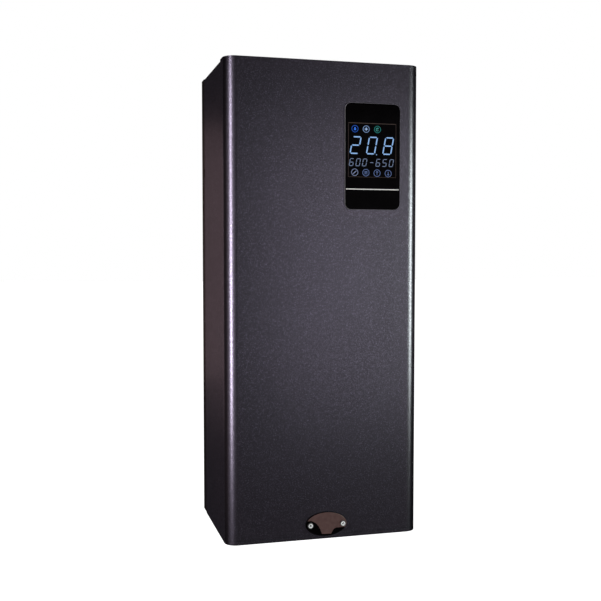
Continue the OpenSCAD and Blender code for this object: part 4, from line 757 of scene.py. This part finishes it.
# Radius of each kind of lead and the distance from a corner at which its bend begins, in mm
POWER_WIRE = (1.8, 10)
LINE_WIRE = (1.8, 5)
GATE_WIRE = (0.7, 4)
SIGNAL_WIRE = (1.0, 2.5)
CAPILLARY = (1.0, 10)
BULB = (3.2, 10)
# Contactor's poles: their y and the heights at which leads enter from above and from below
POLE_Y = -62
POLE_TOP = 190
POLE_FOOT = 110
# Leads from a pole to a heating element: the pole's x, the height of the level run, then x and y of
# the element's pin, and the height at which all of them end
ELEMENT_RUNS = ((30.6, 549.948, -58, -64.1436), (36.1, 555.966, -82, -78),
                (41.6, 561.984, -58, -91.8564))
PIN_TOP = 528
# Leads from a line terminal to a pole: x of both, then the terminals' y, and the heights at which
# the leads begin and run
LINE_RUNS = ((77.8, 34.5), (85.4, 49.5), (93.0, 64.5))
LINE_Y = -30
LINE_TOP = 125
LINE_LOW = 100
# Leads from a triac to the power board: x of the leg, height of the level run, x of the rise, then
# x and y at the board; the legs' y and height, and the heights of the upper run and of the board
GATE_RUNS = ((-83, 102.4, 22.8, 63.0, -26.2), (-66, 104.2, 21.0, 64.8, -24.4),
             (-49, 106.0, 19.2, 66.6, -22.6))
LEG_Y = -99.8
LEG_Z = 114
GATE_TOP = 218
BOARD_FOOT = 235
# Single leads from end to end
PROBE_ROUTE = ((40, -78, 440), (50.65, -78, 440), (50.65, -22.6, 420), (50.65, -22.6, 389))
PRESSURE_ROUTE = ((-110, -78, 80), (-116.6, -78, 80), (-116.6, -26, 100), (21, -26, 100),
                  (21, -26, 212), (73, -26, 212), (73, -26, BOARD_FOOT))
EARTH_ROUTE = ((108.3, LINE_Y, LINE_TOP), (108.3, LINE_Y, LINE_LOW), (94, -96, 43.6),
               (94, -96, 17.6))
CAPILLARY_ROUTE = ((-66, -78, 455), (-66, -78, 557.17), (28, -132, 549.948), (28, -132, 79.6),
                   (48, -132, 64.4), (48, -132, 44.6))
BULB_ROUTE = ((-66, -78, 376), (-66, -78, 416), (-66, -78, 456))


def leads():
    """Insulated leads inside the case, along the routes of the CAD nodes they stand for."""
    power = [tube(((x, POLE_Y, POLE_TOP), (x, POLE_Y, run_z), (pin_x, pin_y, run_z),
                   (pin_x, pin_y, PIN_TOP)), *POWER_WIRE)
             for x, run_z, pin_x, pin_y in ELEMENT_RUNS]
    power += [tube(((x, LINE_Y, LINE_TOP), (x, LINE_Y, LINE_LOW), (pole_x, POLE_Y, LINE_LOW),
                    (pole_x, POLE_Y, POLE_FOOT)), *LINE_WIRE) for x, pole_x in LINE_RUNS]
    piece = make_piece("power_leads", power, "chassis", finishes["wire_black"])
    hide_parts("element_wires")
    gate = [tube(((x, LEG_Y, LEG_Z), (x, LEG_Y, run_z), (rise_x, LEG_Y, run_z),
                  (rise_x, LEG_Y, GATE_TOP), (rise_x, end_y, GATE_TOP), (end_x, end_y, GATE_TOP),
                  (end_x, end_y, BOARD_FOOT)), *GATE_WIRE)
            for x, run_z, rise_x, end_x, end_y in GATE_RUNS]
    piece = make_piece("triac_leads", gate, "chassis", finishes["wire_grey"])
    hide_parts("control_leads")
    signal = [tube(route, *SIGNAL_WIRE) for route in (PROBE_ROUTE, PRESSURE_ROUTE)]
    piece = make_piece("signal_leads", signal, "chassis", finishes["wire_grey"])
    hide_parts("sensor_wire")
    piece = make_piece("earth_wire", [tube(EARTH_ROUTE, *POWER_WIRE)], "chassis",
                       earth_stripes())
    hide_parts("earth_lead")
    bulb = [tube(CAPILLARY_ROUTE, *CAPILLARY), tube(BULB_ROUTE, *BULB)]
    piece = make_piece("bulb_and_capillary", bulb, "chassis", finishes["copper"])
    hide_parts("cutout_bulb")


# Flat cable in mm: middle; wall side, lower end, height and front end of its route; radius of its
# bend and the rings along it, width, cores, half thickness and the share of that in a groove
CABLE_X = 62.65
CABLE_ROUTE = (-26.5, 389.0, 441.1, -146.8)
CABLE_BEND = 5.0
BEND_RINGS = 9
CABLE_WIDTH = 19.0
CABLE_CORES = 14
CORE_POINTS = 6
CABLE_HALF = 0.5
CABLE_GROOVE = 0.72
# Plug on its front end: front and back; width, height and corner radius; depth of the bevelled end
# and the share of the outline that it leaves
PLUG_SPAN = (-158.8, -146.8)
PLUG_SIZE = (22.0, 7.0, 1.0)
PLUG_BEVEL = (0.4, 0.95)


def flat_cable():
    """Ribbed flat cable and its plug. The cable's middle line goes up, round a quarter circle and
    forward; across it, u runs from -1 to 1 and the half thickness is h (g + (1 - g) |cos(n u pi
    / 2)|) for n cores and the groove's share g. Its end rings have no thickness, so they close it;
    the plug's are points."""
    low = cover_low.z / MM
    back, foot, top, front = CABLE_ROUTE
    turn = np.linspace(0, math.pi / 2, BEND_RINGS)
    bend_y = back - CABLE_BEND + CABLE_BEND * np.cos(turn)
    bend_z = top - CABLE_BEND + CABLE_BEND * np.sin(turn)
    y = np.concatenate(((back, back), bend_y, (front, front)))
    z = np.concatenate(((foot, foot), bend_z, (top, top)))
    angle = np.concatenate(((0, 0), turn, (math.pi / 2, math.pi / 2)))
    thick = np.ones(len(y))
    thick[[0, -1]] = 0.0
    u = np.linspace(-1, 1, CABLE_CORES * CORE_POINTS + 1)
    rib = np.abs(np.cos(CABLE_CORES * u * math.pi / 2))
    half = CABLE_HALF * (CABLE_GROOVE + (1 - CABLE_GROOVE) * rib)
    across = np.concatenate((u, u[::-1])) * CABLE_WIDTH / 2
    offset = np.concatenate((half, -half[::-1]))
    swell = thick[:, None] * offset[None, :]
    grid_y = y[:, None] + np.cos(angle)[:, None] * swell
    grid_z = z[:, None] + np.sin(angle)[:, None] * swell + low
    grid_x = np.broadcast_to(CABLE_X + across, swell.shape)
    points = np.stack((grid_x, grid_y, grid_z), axis=-1).reshape(-1, 3) * MM
    faces = grid_faces(*swell.shape, wrap=True)[:, ::-1]
    piece = make_piece("flat_cable", [(points, faces)], "chassis",
                       finishes["wire_grey"])
    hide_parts("ribbon_cable")
    width, height, radius = PLUG_SIZE
    flat = rounded_outline(width, height, radius, 0.0, 6)
    near, far = PLUG_SPAN
    bevel, end = PLUG_BEVEL
    rows = []
    for share, place in ((0, near), (end, near), (1, near + bevel), (1, far - bevel), (end, far),
                         (0, far)):
        rows.append(np.stack((CABLE_X + share * flat[:, 0], np.full(len(flat), place),
                              top + low + share * flat[:, 1]), axis=1))
    faces = grid_faces(len(rows), len(flat), wrap=True)[:, ::-1]
    plug = make_piece("cable_plug", [(np.concatenate(rows) * MM, faces)], "chassis",
                      moulded("plug_black", srgb(30, 30, 32), 0.4), smooth=False)
    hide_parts("ribbon_cable")


def earth_stripes():
    """Green lead with yellow bands."""
    made = Finish("earth_stripes", srgb(46, 120, 50), 0.42)
    wave = made.node("ShaderNodeTexWave")
    wave.inputs["Scale"].default_value = 60
    wave.inputs["Distortion"].default_value = 0.6
    made.link(made.place, wave.inputs["Vector"])
    made.color(wave.outputs["Fac"], [(0.62, srgb(46, 120, 50)), (0.68, srgb(214, 190, 40))])
    made.rough(made.noise(800, 2.0), 0.36, 0.5)
    made.bump(made.noise(1500, 2.0), 0.00003, 0.5)
    return made.material


def lamp(name, place, target, size, power, color=(1, 1, 1)):
    """Rectangular lamp at a place, turned to a target."""
    data = bpy.data.lights.new(name, "AREA")
    data.shape = "RECTANGLE"
    data.size = size[0]
    data.size_y = size[1]
    data.energy = power
    data.color = color
    holder = bpy.data.objects.new(name, data)
    holder.location = place
    toward = Vector(target) - Vector(place)
    holder.rotation_euler = toward.to_track_quat("-Z", "Y").to_euler()
    holder.visible_camera = False
    bpy.context.scene.collection.objects.link(holder)
    return holder


# Lamps as name, place, target, width and height, watts and colour. Only gloss sees the strips, so
# they leave the level of matt colours as it is
SOFT_LAMPS = (
    ("soft_left", (-1.2, -1.3, 0.8), (0, -0.09, 0), (1.2, 1.2), 8),
    ("soft_right", (1.3, -1.4, 0.6), (0, -0.09, 0), (1.2, 1.2), 6),
)
STRIP_LAMPS = (
    ("front_strip", (0.48, -1.5, 0.03), (0.06, -0.17, 0.02), (0.5, 0.82), 16.5, (0.97, 0.98, 1.0)),
    ("left_strip", (-0.877, -0.821, -0.09), (-0.12, -0.17, -0.05), (0.3, 0.44), 113),
    ("left_strip_high", (-0.877, -0.821, 0.31), (-0.12, -0.17, 0.1), (0.3, 0.34), 50),
    ("right_strip", (0.938, -0.742, 0.035), (0.12, -0.17, 0.035), (0.5, 0.52), 164,
     (0.8, 1.0, 0.79)),
    ("side_strip", (-0.4, 1.2, 0.06), (-0.13, -0.09, 0.0), (0.4, 0.7), 6, (1.0, 0.76, 0.62)),
    ("left_wall", (-1.3, 0.35, -0.1), (-0.12, -0.12, 0.0), (1.5, 1.1), 18, (1.0, 0.8, 0.68)),
    ("left_back", (-0.73, 0.98, -0.02), (-0.12, -0.15, 0.0), (0.5, 0.7), 11, (1.0, 0.8, 0.68)),
    ("left_wide", (-0.94, -0.91, 0.0), (-0.12, -0.17, 0.0), (1.4, 0.9), 26),
    ("front_left", (-0.48, -1.52, 0.0), (-0.12, -0.17, 0.0), (0.3, 0.9), 4),
    ("right_wall", (1.4, 0.0, 0.05), (0.12, -0.15, 0.0), (1.1, 0.8), 14),
)
# Level of the all-round fill, and what the floor adds for the camera to read as white
FILL_LEVEL = 0.55
FLOOR_GLOW = 0.68
# How far the floor lies under the case, and how far it reaches to each side, in metres
FLOOR_DROP = 0.6
FLOOR_REACH = 30.0


def direct_view(tree, level):
    """The level for rays of the camera, of gloss and of clear plastic, and 0 for all others."""
    path = tree.nodes.new("ShaderNodeLightPath")
    direct = path.outputs["Is Camera Ray"]
    for kind in ("Is Glossy Ray", "Is Transmission Ray"):
        either = tree.nodes.new("ShaderNodeMath")
        either.operation = "MAXIMUM"
        tree.links.new(direct, either.inputs[0])
        tree.links.new(path.outputs[kind], either.inputs[1])
        direct = either.outputs["Value"]
    scaled = tree.nodes.new("ShaderNodeMath")
    scaled.operation = "MULTIPLY"
    scaled.inputs[1].default_value = level
    tree.links.new(direct, scaled.inputs[0])
    return scaled.outputs["Value"]


def studio():
    """Pale floor, white surround for what the camera and the gloss see, soft grey fill and lamps."""
    across = np.linspace(-FLOOR_REACH, FLOOR_REACH, 3)
    x, y = np.meshgrid(across, across, indexing="ij")
    points = np.stack((x, y, np.full(x.shape, cover_low.z - FLOOR_DROP)), axis=-1).reshape(-1, 3)
    mesh = bpy.data.meshes.new("studio_floor")
    mesh.from_pydata(points.tolist(), [], grid_faces(3, 3)[:, ::-1].tolist())
    floor = bpy.data.objects.new("studio_floor", mesh)
    bpy.context.scene.collection.objects.link(floor)
    pale = Finish("floor_pale", (0.9, 0.9, 0.9), 0.9, 0.0, 0.1)
    mesh.materials.append(pale.material)
    pale.link(direct_view(pale.tree, FLOOR_GLOW), pale.shader.inputs["Emission Strength"])
    pale.shader.inputs["Emission Color"].default_value = (1, 1, 1, 1)

    world = bpy.data.worlds.new("studio")
    bpy.context.scene.world = world
    world.use_nodes = True
    tree = world.node_tree
    tree.nodes.clear()
    out = tree.nodes.new("ShaderNodeOutputWorld")
    mix = tree.nodes.new("ShaderNodeMixShader")
    fill = tree.nodes.new("ShaderNodeBackground")
    white = tree.nodes.new("ShaderNodeBackground")
    fill.inputs["Color"].default_value = (1, 1, 1, 1)
    fill.inputs["Strength"].default_value = FILL_LEVEL
    white.inputs["Color"].default_value = (1, 1, 1, 1)
    white.inputs["Strength"].default_value = 1.0
    tree.links.new(direct_view(tree, 1.0), mix.inputs["Fac"])
    tree.links.new(fill.outputs["Background"], mix.inputs[1])
    tree.links.new(white.outputs["Background"], mix.inputs[2])
    tree.links.new(mix.outputs["Shader"], out.inputs["Surface"])

    for soft in SOFT_LAMPS:
        lamp(*soft)
    for strip in STRIP_LAMPS:
        lamp(*strip).visible_diffuse = False


display()
panel_edge()
badge_face()
leads()
flat_cable()
aim_camera()
studio()
bpy.context.scene.view_settings.view_transform = "Standard"
